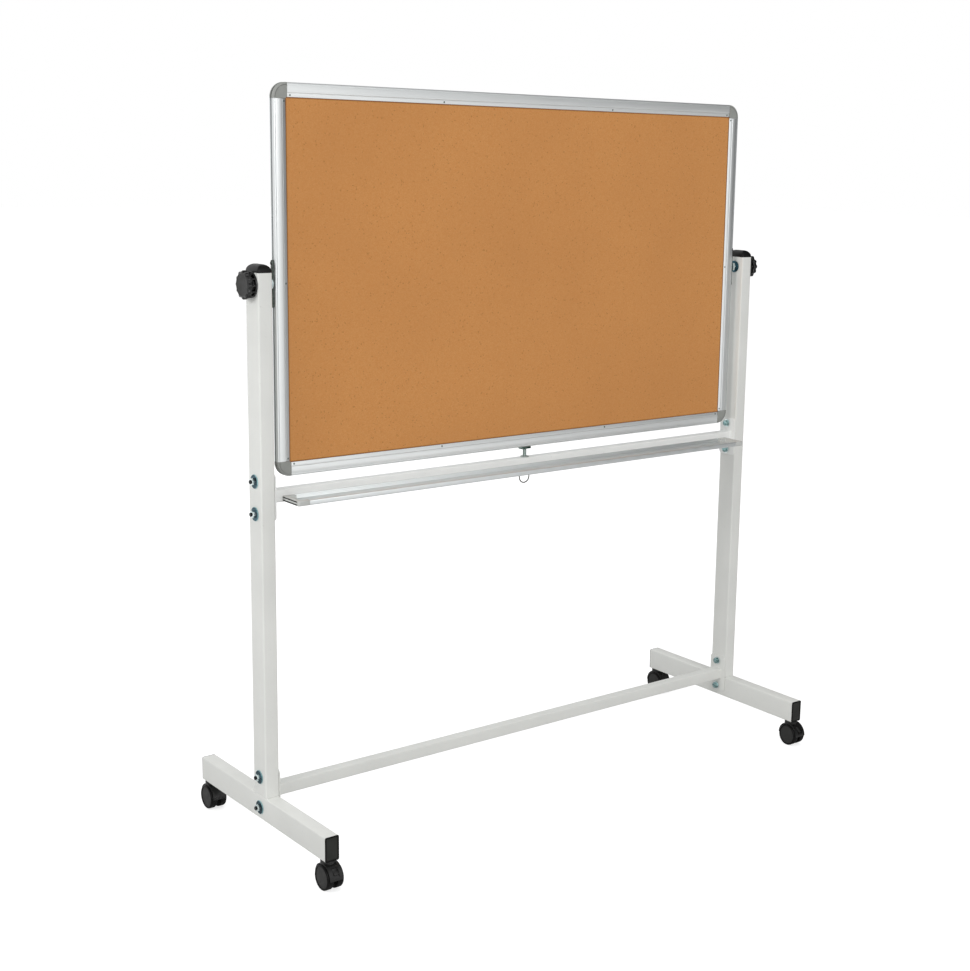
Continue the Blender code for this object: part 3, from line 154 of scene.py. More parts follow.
def turn(axis: Axis, degrees: float) -> Matrix:
    """Gives a turn round an axis through the origin."""
    return Matrix.Rotation(math.radians(degrees), 4, axis.vector)


def shift(x: float = 0.0, y: float = 0.0, z: float = 0.0) -> Matrix:
    """Gives a move as a matrix."""
    return Matrix.Translation(metres(x, y, z))


def clear_selection() -> None:
    """Leaves edit mode and deselects every object."""
    if bpy.context.object and bpy.context.object.mode != "OBJECT":
        bpy.ops.object.mode_set(mode="OBJECT")
    bpy.ops.object.select_all(action="DESELECT")


def select_mesh() -> None:
    """Selects the whole mesh that is open in edit mode."""
    bpy.ops.mesh.select_mode(type="FACE")
    bpy.ops.mesh.select_all(action="SELECT")


# ---------------------------------------------------------------- finishes


def connect(tree: Tree, node: bpy.types.Node, inputs: Inputs) -> None:
    """Links or sets a node's inputs.

    Args:
        tree: The node's tree.
        node: The node.
        inputs: For each input a socket to link or a value to set.
    """
    for key, value in inputs.items():
        if isinstance(value, Socket):
            tree.links.new(value, node.inputs[key])
        else:
            node.inputs[key].default_value = value


def add_node(tree: Tree, kind: str, inputs: Inputs, output: int | str = 0, **settings: Any) -> Socket:
    """Adds a shader node.

    Args:
        tree: The tree that it joins.
        kind: Its type, without the leading ShaderNode.
        inputs: For each input a socket to link or a value to set.
        output: Which output is used.
        **settings: Its other properties.

    Returns:
        The output.
    """
    node = tree.nodes.new("ShaderNode" + kind)
    for name, value in settings.items():
        setattr(node, name, value)
    connect(tree, node, inputs)
    return node.outputs[output]


class Recipe:
    """A material under construction, with one Principled shader fed by procedural patterns."""

    def __init__(self, name: str) -> None:
        """Starts a recipe with a plain shader."""
        self.material = bpy.data.materials.new(name)
        self.material.use_nodes = True
        self.tree = self.material.node_tree
        self.node = partial(add_node, self.tree)
        self.coordinates = self.node("TexCoord", {}, "Object")

    def feed(self, **inputs: Any) -> None:
        """Links or sets sockets of the shader; underscores stand for spaces."""
        named = {name.replace("_", " "): value for name, value in inputs.items()}
        connect(self.tree, self.tree.nodes["Principled BSDF"], named)

    def noise(self, scale: float, detail: float = 3.0, stretch: Triple = (1, 1, 1)) -> Socket:
        """Gives a noise of so many swells in a metre, with finer layers, its scale raised along each axis."""
        place = self.node("Mapping", {"Vector": self.coordinates, "Scale": stretch})
        return self.node("TexNoise", {"Scale": scale, "Detail": detail, "Vector": place})

    def cells(self, scale: float, feature: str = "F1", output: str = "Color") -> Socket:
        """Gives a pattern of so many cells in a metre."""
        return self.node("TexVoronoi", {"Scale": scale, "Vector": self.coordinates}, output, feature=feature)

    def span(self, source: Socket, low: float, high: float, start: float = 0.3, end: float = 0.7) -> Socket:
        """Maps a value: low up to the start, high from the end on."""
        inputs = {"Value": source, "From Min": start, "From Max": end, "To Min": low, "To Max": high}
        return self.node("MapRange", inputs)

    def mixed(self, factor: Socket, first: Socket | Shade, second: Shade) -> Socket:
        """Mixes two colours.

        Args:
            factor: The share of the second colour.
            first: A pattern, a linear colour with alpha, or a colour as a screen shows it.
            second: The same.

        Returns:
            The mixed colour.
        """
        colours = [srgb(one) if isinstance(one, tuple) and len(one) == 3 else one for one in (first, second)]
        return self.node("Mix", {0: factor, 6: colours[0], 7: colours[1]}, 2, data_type="RGBA")

    def relief(self, height: Socket, depth: float, **under: Socket) -> Socket:
        """Raises a pattern, so many millimetres deep, into the surface, over another relief if one is given."""
        self.feed(Normal=self.node("Bump", {"Height": height, "Strength": 1.0, "Distance": depth * MM, **under}))
        return self.tree.nodes["Principled BSDF"].inputs["Normal"].links[0].from_socket


@dataclass(frozen=True)
class Finish:
    """A surface finish; its slot is the one that the part's record names, its colours are a screen's."""

    name: str
    slot: str

    def mix(self, recipe: Recipe) -> None:
        """Fills in the recipe."""
        raise NotImplementedError

    def material(self) -> bpy.types.Material:
        """Gives the finish's material, made on its first use."""
        ready = bpy.data.materials.get(self.name)
        if ready is None:
            recipe = Recipe(self.name)
            self.mix(recipe)
            ready = recipe.material
        return ready


@dataclass(frozen=True)
class PowderCoat(Finish):
    """Baked powder on steel: a warm white with a fine orange peel, and faint handling marks."""

    colour: Shade
    shaded: Shade
    marked: Shade = (196, 194, 186)

    def mix(self, recipe: Recipe) -> None:
        """Fills in the recipe."""
        base = recipe.mixed(recipe.span(recipe.noise(7, 4), 0, 1), self.colour, self.shaded)
        marks = recipe.span(recipe.noise(160, 6), 0, 0.25, 0.68, 0.78)
        roughness = recipe.span(recipe.noise(45, 4), 0.37, 0.51)
        recipe.feed(Base_Color=recipe.mixed(marks, base, self.marked), Roughness=roughness, Specular_IOR_Level=0.45)
        peel = recipe.relief(recipe.noise(520, 2), 0.035)
        recipe.relief(recipe.noise(2600, 1), 0.006, Normal=peel)


@dataclass(frozen=True)
class Aluminium(Finish):
    """Anodised extrusion with fine drawing lines along its length."""

    run: Axis
    colour: Shade
    metallic: float = 0.85
    roughness: float = 0.36
    dusty: Shade = (232, 232, 230)

    def mix(self, recipe: Recipe) -> None:
        """Fills in the recipe."""
        stretch = tuple(0.006 if axis is self.run else 1.0 for axis in Axis)
        lines = recipe.noise(1500, 3, stretch)
        streaks = recipe.span(recipe.noise(240, 2, stretch), 0, 0.8)
        base = recipe.mixed(streaks, self.colour, srgb(self.colour, dim=0.9))
        dust = recipe.span(recipe.noise(60, 5), 0, 0.12, 0.55, 0.8)
        roughness = recipe.span(lines, self.roughness - 0.06, self.roughness + 0.08)
        recipe.feed(Base_Color=recipe.mixed(dust, base, self.dusty), Roughness=roughness, Metallic=self.metallic)
        recipe.relief(lines, 0.004)


@dataclass(frozen=True)
class Moulding(Finish):
    """Moulded plastic with a spark-eroded grain, slight sheen changes and rubbed spots."""

    colour: Shade
    rubbed: Shade
    roughness: float
    gloss: float = 0.3

    def mix(self, recipe: Recipe) -> None:
        """Fills in the recipe."""
        base = recipe.mixed(recipe.span(recipe.noise(55, 4), 0, 0.5), self.colour, self.rubbed)
        specks = recipe.span(recipe.noise(420, 3), 0, 0.5, 0.66, 0.78)
        roughness = recipe.span(recipe.noise(90, 5), self.roughness - 0.06, self.roughness + 0.1)
        colour = recipe.mixed(specks, base, self.rubbed)
        recipe.feed(Base_Color=colour, Roughness=roughness, Specular_IOR_Level=self.gloss)
        recipe.relief(recipe.noise(2400, 2), 0.02)


@dataclass(frozen=True)
class Plating(Finish):
    """Plated steel; the passivation leaves patches of another hue."""

    colour: Shade
    patches: Shade
    stain: Shade
    roughness: float

    def mix(self, recipe: Recipe) -> None:
        """Fills in the recipe."""
        hue = recipe.span(recipe.noise(170, 3), 0, 1, 0.35, 0.65)
        base = recipe.mixed(hue, self.colour, self.patches)
        stains = recipe.span(recipe.noise(700, 4), 0, 0.35, 0.6, 0.75)
        roughness = recipe.span(recipe.noise(400, 4), self.roughness - 0.06, self.roughness + 0.12)
        recipe.feed(Base_Color=recipe.mixed(stains, base, self.stain), Roughness=roughness, Metallic=1.0)
        recipe.relief(recipe.noise(1800, 2), 0.008)


@dataclass(frozen=True)
class Cork(Finish):
    """Pressed cork granules: tan grains of many tones, dark bark specks and open pores, with a shadow of the frame
    painted along the edge.
    """

    colour: Shade
    pale: Shade
    crumb: Shade
    clouded: Shade
    bark: Shade
    # The rim colour is painted shadow: the frame's shadow, in a strip along the sheet's edge.
    rim: Shade
    centre: Triple = (0, 0, 1125.1)
    half_size: Triple = (579.2, 1000.0, 346.2)
    shadow_width: float = 3.0

    def mix(self, recipe: Recipe) -> None:
        """Fills in the recipe."""
        grains = recipe.node("SeparateColor", {0: recipe.cells(420)}).node.outputs
        crumbs = recipe.node("SeparateColor", {0: recipe.cells(1150)}, "Green")
        layers = (
            (recipe.span(crumbs, 0, 0.25, 0, 1), self.crumb),
            (recipe.span(grains["Blue"], 0, 0.4, 0.97, 0.99), self.bark),
            (recipe.span(recipe.noise(3.0, 5), 0, 0.3, 0.4, 0.7), self.clouded),
            (recipe.span(recipe.noise(900, 4), 0, 0.35, 0.66, 0.76), self.bark),
            # Painted shadow: the cork darkens in a strip along the frame.
            (self.painted_frame_shadow(recipe), self.rim),
        )
        colour = recipe.mixed(recipe.span(grains["Red"], 0, 0.55, 0, 1), self.colour, self.pale)
        for factor, shade in layers:
            colour = recipe.mixed(factor, colour, shade)
        recipe.feed(Base_Color=colour, Roughness=0.86, Specular_IOR_Level=0.25)
        seams = recipe.span(recipe.cells(420, "DISTANCE_TO_EDGE", "Distance"), 0, 1, 0, 0.12)
        recipe.relief(recipe.noise(1300, 4), 0.12, Normal=recipe.relief(seams, 0.12))

    def painted_frame_shadow(self, recipe: Recipe) -> Socket:
        """Marks the strip along the sheet's edge where the frame's shadow is painted into the cork.

        Args:
            recipe: The cork's recipe.

        Returns:
            A value that rises from 0 to 1 at the edge.
        """
        centred = recipe.node("VectorMath", {0: recipe.coordinates, 1: metres(*self.centre)}, operation="SUBTRACT")
        size = recipe.node("VectorMath", {0: centred}, operation="ABSOLUTE")
        parts = recipe.node("SeparateXYZ", {0: size}).node.outputs
        rises = []
        for axis in (X, Z):
            half = self.half_size[axis.value]
            rises.append(recipe.span(parts[axis.name], 0, 1, *metres(half - self.shadow_width, half)))
        return recipe.node("Math", dict(enumerate(rises)), operation="MAXIMUM")


@dataclass(frozen=True)
class CoreBoard(Finish):
    """Brown fibreboard, seen only where the panel's edge shows."""

    colour: Shade
    fibre: Shade

    def mix(self, recipe: Recipe) -> None:
        """Fills in the recipe."""
        fibres = recipe.noise(900, 5, (1, 1, 0.15))
        recipe.feed(Base_Color=recipe.mixed(recipe.span(fibres, 0, 1), self.colour, self.fibre), Roughness=0.9)
        recipe.relief(fibres, 0.1)


@dataclass(frozen=True)
class DryErase(Finish):
    """Glossy white lacquer on steel, with the faint clouds that wiping leaves."""

    colour: Shade
    smeared: Shade

    def mix(self, recipe: Recipe) -> None:
        """Fills in the recipe."""
        clouds = recipe.noise(6, 6, (1, 1, 2.5))
        colour = recipe.mixed(recipe.span(clouds, 0, 0.4, 0.5, 0.75), self.colour, self.smeared)
        recipe.feed(Base_Color=colour, Roughness=recipe.span(clouds, 0.1, 0.24), Coat_Weight=0.3, Coat_Roughness=0.08)
        recipe.relief(recipe.noise(110, 2), 0.01)


COAT = PowderCoat("white_powder_coat", "powder_coat", (237, 238, 234), (230, 231, 227))
# A lighter copy of the white powder coat, painted light on the upper crossbar, whose real coat is the posts' one.
LIT_BAR_COAT = PowderCoat("bright_powder_coat", "powder_coat", (250, 251, 249), (244, 245, 243))
# Lit and shaded copies of one anodised aluminium: the level rails are painted lighter and the upright rails darker,
# for how the light falls on them.
LIT_RAIL_LEVEL = Aluminium("frame_aluminium_level", "frame_aluminium", X, (244, 247, 247))
SHADED_RAIL_UPRIGHT = Aluminium("frame_aluminium_upright", "frame_aluminium", Z, (224, 227, 227))
TRAY_METAL = Aluminium("tray_aluminium_level", "tray_aluminium", X, (222, 226, 226), 0.6, 0.42)
CORNER_PLASTIC = Moulding("grey_corner_plastic", "corner_grey", (151, 153, 149), (166, 168, 164), 0.5)
TRAY_PLASTIC = Moulding("grey_tray_plastic", "tray_grey", (196, 198, 195), (208, 210, 207), 0.48)
BLACK_PLASTIC = Moulding("black_moulding", "black_plastic", (18, 18, 18), (28, 28, 27), 0.28, 0.5)
CAP_BLACK = Moulding("cap_moulding", "black_plastic", (13, 13, 13), (22, 22, 21), 0.36, 0.22)
# The knob's black and a lighter copy of it: the dished face is painted the lighter grey as a painted reflection.
KNOB_BLACK = Moulding("knob_moulding", "black_plastic", (11, 11, 11), (18, 18, 18), 0.25, 0.5)
LIT_KNOB_DISC = Moulding("knob_disc_moulding", "black_plastic", (33, 33, 32), (43, 43, 42), 0.45)
# The darkest copy of the black plastic, painted on the foot caps round their sunk face as shade.
DEEP_BLACK = Moulding("deep_black_moulding", "black_plastic", (9, 9, 9), (15, 15, 15), 0.34, 0.16)
# A grey copy of the black plastic: painted light on the foot caps' sunk faces and painted shade in the tray ends'
# slots.
GREY_LIGHT_AND_SHADE = Moulding("worn_black_moulding", "black_plastic", (38, 39, 36), (47, 48, 45), 0.5)
# Shaded and lit copies of the wheels' one black nylon: the tread and rounded rim are painted darkest as shade, the
# flat disc lighter as light.
TYRE = Moulding("tyre_nylon", "wheel_black", (9, 9, 9), (15, 15, 15), 0.4, 0.16)
LIT_WHEEL_DISC = Moulding("disc_nylon", "wheel_black", (42, 42, 41), (52, 52, 51), 0.45)
BRIGHT_ZINC = Plating("bright_zinc", "zinc", (232, 240, 240), (206, 222, 224), (96, 120, 124), 0.16)
WASHER_ZINC = Plating("washer_zinc", "zinc", (120, 170, 178), (176, 212, 218), (60, 92, 100), 0.2)
# Dark navy zinc; on the bolts' washers it is the nut's shadow, painted round the nut.
NAVY_ZINC_AND_PAINTED_SHADOW = Plating("navy_zinc", "zinc", (24, 44, 54), (56, 92, 104), (14, 26, 32), 0.22)
BLUE_ZINC = Plating("blue_zinc", "zinc", (84, 116, 118), (168, 198, 198), (30, 50, 54), 0.2)
# A darkened copy of the zinc for the pivot plates, painted dark as the shade in the gap between board and post.
PLATE_ZINC = Plating("plate_zinc", "zinc", (64, 70, 66), (92, 98, 94), (38, 42, 40), 0.34)
PALE_ZINC = Plating("pale_zinc", "zinc", (186, 194, 190), (204, 210, 206), (120, 130, 126), 0.35)
# A dark copy of the zinc, painted on the bolts' thread ends as the dark reflection seen there.
DARK_THREAD = Plating("dark_thread", "zinc", (44, 46, 48), (62, 66, 68), (26, 28, 30), 0.3)
WORN_ZINC = Plating("worn_zinc", "zinc", (112, 124, 120), (140, 150, 146), (70, 80, 76), 0.32)
GREEN_ZINC = Plating("olive_zinc", "zinc", (62, 78, 72), (104, 122, 114), (40, 50, 46), 0.28)
SPRING_WIRE = Plating("bright_wire", "spring_steel", (124, 124, 120), (100, 100, 97), (70, 70, 68), 0.25)
# The cork's rim colour is the frame's painted shadow along its edge.
CORK = Cork(
    "pressed_cork", "cork", colour=(218, 151, 87), pale=(226, 166, 104), crumb=(178, 114, 62),
    clouded=(196, 134, 78), bark=(150, 94, 48), rim=(112, 66, 32),
)
FIBRE = CoreBoard("fibre_core", "core_board", (176, 140, 98), (150, 116, 78))
LACQUER = DryErase("dry_erase_lacquer", "whiteboard", (240, 242, 244), (224, 227, 232))


# ---------------------------------------------------------------- bench


class Workpiece:
    """One piece on the bench, shaped with Blender's own modelling operators."""

    def __init__(self, name: str) -> None:
        """Takes up the active object, names it and settles its place into its mesh."""
        self.piece = bpy.context.object
        self.piece.name = self.piece.data.name = name
        self.settle()

    @classmethod
    def start(cls, name: str, primitive: Callable[..., Any], **options: Any) -> "Workpiece":
        """Starts from a primitive that is added with nothing else selected."""
        clear_selection()
        primitive(**options)
        return cls(name)

    @classmethod
    def block(cls, name: str, low: Sequence[float], high: Sequence[float]) -> "Workpiece":
        """Starts from a cube stretched between two corners."""
        middle, size = zip(*(((last + first) / 2, last - first) for first, last in zip(low, high)))
        cube = bpy.ops.mesh.primitive_cube_add
        return cls.start(name, cube, size=1, location=metres(*middle), scale=metres(*size))

    @classmethod
    def rod(cls, name: str, axis: Axis, centre: Triple, radius: float, length: float, sides: int = 64) -> "Workpiece":
        """Starts from a cylinder along an axis, or a prism if it has few sides."""
        angles = {X: (0, math.pi / 2, 0), Y: (math.pi / 2, 0, 0), Z: (0, 0, 0)}[axis]
        size = {"vertices": sides, "radius": radius * MM, "depth": length * MM}
        cylinder = bpy.ops.mesh.primitive_cylinder_add
        return cls.start(name, cylinder, location=metres(*centre), rotation=angles, **size)

    @classmethod
    def turned(cls, name: str, profile: Profile, sides: int = 64) -> "Workpiece":
        """Starts from a disc that is extruded and scaled again and again, as on a lathe.

        Args:
            name: The piece's name.
            profile: Pairs of a radius and a height on the z axis, from one end to the other.
            sides: How many sides the round has.

        Returns:
            The closed round piece, standing on the z axis.
        """
        (radius, height), *rest = profile
        disc = {"vertices": sides, "radius": radius * MM, "fill_type": "NGON", "location": metres(0, 0, height)}
        work = cls.start(name, bpy.ops.mesh.primitive_circle_add, **disc)
        with work.editing():
            select_mesh()
            for new_radius, new_height in rest:
                share = new_radius / radius
                work.step_up(new_height - height, new_height, share, share)
                radius, height = new_radius, new_height
        work.mend()
        return work

    @classmethod
    def hexagon(
        cls, name: str, low: float, high: float, chamfers: tuple[float, float], flats: float = 13
    ) -> "Workpiece":
        """Makes a hexagon on the z axis whose corners are chamfered on the lathe.

        Args:
            name: The piece's name.
            low: Its low end.
            high: Its high end.
            chamfers: How far the chamfer reaches at the low and the high end.
            flats: Its width across flats.

        Returns:
            The hexagon.
        """
        reach = flats / math.sqrt(3)
        face, wide = flats / 2 * 0.97, reach * 1.02
        work = cls.rod(name, Z, (0, 0, (low + high) / 2), reach, high - low, 6)
        profile = [(face, low - HAIR), (wide, low + chamfers[0]), (wide, high - chamfers[1]), (face, high + HAIR)]
        work.carve(cls.turned("chamfer", profile, 48), Carving.KEEP)
        return work

    def alone(self) -> None:
        """Selects this piece only and makes it the active one."""
        clear_selection()
        self.piece.select_set(True)
        bpy.context.view_layer.objects.active = self.piece

    def settle(self) -> None:
        """Applies the object's place, turn and scale to its mesh."""
        self.alone()
        bpy.ops.object.transform_apply(location=True, rotation=True, scale=True)

    @contextmanager
    def editing(self, kind: Element | None = None, *tests: Test) -> Iterator[None]:
        """Opens the piece in edit mode for a while, unless it is open already.

        Args:
            kind: What is picked first, if anything.
            *tests: As for pick.
        """
        opened = self.piece.mode != "EDIT"
        if opened:
            self.alone()
            bpy.ops.object.mode_set(mode="EDIT")
        if kind:
            self.pick(kind, *tests)
        yield
        if opened:
            bpy.ops.object.mode_set(mode="OBJECT")

    def pick(self, kind: Element, *tests: Test) -> None:
        """Selects the elements that pass every test.

        Args:
            kind: What is picked.
            *tests: Each takes an element.
        """
        bpy.ops.mesh.select_mode(type=kind.name)
        bpy.ops.mesh.select_all(action="DESELECT")
        mesh = bmesh.from_edit_mesh(self.piece.data)
        chosen = [item for item in getattr(mesh, kind.value) if all(test(item) for test in tests)]
        for item in chosen:
            item.select_set(True)
        mesh.select_flush_mode()
        bmesh.update_edit_mesh(self.piece.data)
        if not chosen:
            raise ValueError(f"{self.piece.name}: nothing is picked")

    def step_up(self, rise: float, level: float, share_x: float, share_y: float) -> None:
        """Extrudes what is selected upwards and scales it at its new level."""
        bpy.ops.mesh.extrude_region_move(TRANSFORM_OT_translate={"value": metres(0, 0, rise)})
        bpy.ops.transform.resize(value=(share_x, share_y, 1), center_override=metres(0, 0, level))

    def bisect(self, axis: Axis, place: float, **options: bool) -> None:
        """Cuts new edges all round the piece, square to an axis."""
        with self.editing():
            select_mesh()
            way = axis.vector
            bpy.ops.mesh.bisect(plane_co=way * (place * MM), plane_no=way, threshold=THIN, **options)

    def cut(self, axis: Axis, *places: float) -> None:
        """Cuts new edges at several places along an axis."""
        with self.editing():
            for place in places:
                self.bisect(axis, place)

    def move(self, kind: Element, offset: Triple, *tests: Test) -> None:
        """Moves the elements that pass every test."""
        with self.editing(kind, *tests):
            bpy.ops.transform.translate(value=metres(*offset))

    def pull(self, offset: Triple, border: float, *tests: Test) -> None:
        """Insets the faces that pass every test by a border and extrudes what is inside."""
        with self.editing(FACE, *tests):
            bpy.ops.mesh.inset(thickness=border * MM)
            bpy.ops.mesh.extrude_region_move(TRANSFORM_OT_translate={"value": metres(*offset)})

    def round_edges(self, radius: float, steps: int, *tests: Test) -> None:
        """Rounds the edges that pass every test."""
        with self.editing(EDGE, *tests):
            bpy.ops.mesh.bevel(offset=radius * MM, segments=steps, affect="EDGES")

    def modify(self, kind: str, **settings: Any) -> None:
        """Adds a modifier with these settings and applies it."""
        modifier = self.piece.modifiers.new(kind.lower(), kind)
        for name, value in settings.items():
            setattr(modifier, name, value)
        self.alone()
        bpy.ops.object.modifier_apply(modifier=modifier.name)

    def carve(self, tool: "Workpiece", way: Carving = Carving.CUT) -> None:
        """Cuts the piece with another, keeps what they share or welds them, and uses the tool up."""
        self.modify("BOOLEAN", operation=way.value, solver="EXACT", object=tool.piece)
        tool.discard()

    def soften(self, radius: float, steps: int = 2, sharper_than: float = 40.0) -> None:
        """Rounds all edges that are sharper than so many degrees."""
        limit = math.radians(sharper_than)
        self.modify("BEVEL", width=radius * MM, segments=steps, limit_method="ANGLE", angle_limit=limit)

    def mend(self) -> None:
        """Merges doubled points and points all faces outwards."""
        with self.editing():
            select_mesh()
            bpy.ops.mesh.remove_doubles(threshold=DOUBLED)
            bpy.ops.mesh.select_all(action="SELECT")
            bpy.ops.mesh.normals_make_consistent(inside=False)

    def place(self, matrix: Matrix) -> "Workpiece":
        """Carries the piece to its place and settles it there."""
        self.piece.matrix_world = matrix
        self.settle()
        return self

    def twin(self, name: str, matrix: Matrix) -> "Workpiece":
        """Copies the piece with a mesh of its own and carries the copy to its place."""
        self.alone()
        bpy.ops.object.duplicate(linked=False)
        return Workpiece(name).place(matrix)

    def absorb(self, *others: "Workpiece") -> "Workpiece":
        """Joins other pieces into this one's mesh."""
        self.alone()
        for other in others:
            other.piece.select_set(True)
        bpy.ops.object.join()
        return self

    def discard(self) -> None:
        """Takes the piece away."""
        bpy.data.objects.remove(self.piece)

    def paint(self, finish: Finish, *tests: Test) -> None:
        """Gives the faces that pass every test a finish of their own, beside the one of the whole piece.

        Args:
            finish: The finish.
            *tests: Each takes a face.
        """
        materials = self.piece.data.materials
        if not materials:
            materials.append(None)
        materials.append(finish.material())
        with self.editing(FACE, *tests):
            self.piece.active_material_index = len(materials) - 1
            bpy.ops.object.material_slot_assign()

    def hand_over(self, finish: Finish, *nodes: str, smooth_below: float = 35.0) -> None:
        """Gives the piece its finish and puts it in the place of CAD nodes, on their body.

        Args:
            finish: The finish.
            *nodes: The CAD nodes that the piece stands for.
            smooth_below: Edges flatter than this many degrees are shaded smooth.
        """
        self.mend()
        self.alone()
        bpy.ops.object.shade_smooth_by_angle(angle=math.radians(smooth_below))
        materials = self.piece.data.materials
        if not materials:
            materials.append(None)
        materials[0] = finish.material()
        body = frame["nodes"][nodes[0]].parent.name.removeprefix("body:")
        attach(self.piece, body)
        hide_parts(*nodes)
        LOG.info("%s: %d faces on %s", self.piece.name, len(self.piece.data.polygons), body)

    def issue(self, finish: Finish, places: dict[tuple[str, str], Matrix], smooth_below: float = 35.0) -> None:
        """Hands over a copy at every place and takes this pattern away.

        Args:
            finish: The copies' finish.
            places: For each copy's name and CAD node its place.
            smooth_below: As for hand_over.
        """
        for (name, node), place in places.items():
            self.twin(name, place).hand_over(finish, node, smooth_below=smooth_below)
        self.discard()


def both_sides(title: str, node: str, place: Callable[[int], Matrix]) -> dict[tuple[str, str], Matrix]:
    """Gives the name, CAD node and place of a copy on the left (-1) and on the right (1)."""
    return {(f"{side}_{title}", f"{side}_{node}"): place(sign) for side, sign in SIDES.items()}


def middle_of(item: Face | Edge | Vert) -> Vector:
    """Gives the middle of a face, an edge or a point in millimetres."""
    points = [item] if isinstance(item, Vert) else item.verts
    return sum((point.co for point in points), Vector()) / (len(points) * MM)


def near(first: float, second: float) -> bool:
    """Tells whether two lengths are the same."""
    return abs(first - second) < SLACK


def at(axis: Axis, *places: float) -> Test:
    """Makes a test for elements whose middle lies at one of these places along an axis."""
    return lambda item: any(near(middle_of(item)[axis.value], place) for place in places)


def between(axis: Axis, low: float, high: float = math.inf) -> Test:
    """Makes a test for elements whose middle lies between two places along an axis."""
    return lambda item: low < middle_of(item)[axis.value] < high


def inside(radius: float) -> Test:
    """Makes a test for elements whose middle lies within a radius of the z axis."""
    return lambda item: middle_of(item).xy.length < radius


def facing(axis: Axis, way: int = 1) -> Test:
    """Makes a test for faces that look along an axis or, with a way of -1, against it."""
    return lambda face: face.normal[axis.value] * way > 0.999


def along(axis: Axis) -> Test:
    """Makes a test for edges that run along an axis."""
    return lambda edge: abs((edge.verts[1].co - edge.verts[0].co).normalized()[axis.value]) > 0.999


# ---------------------------------------------------------------- stand


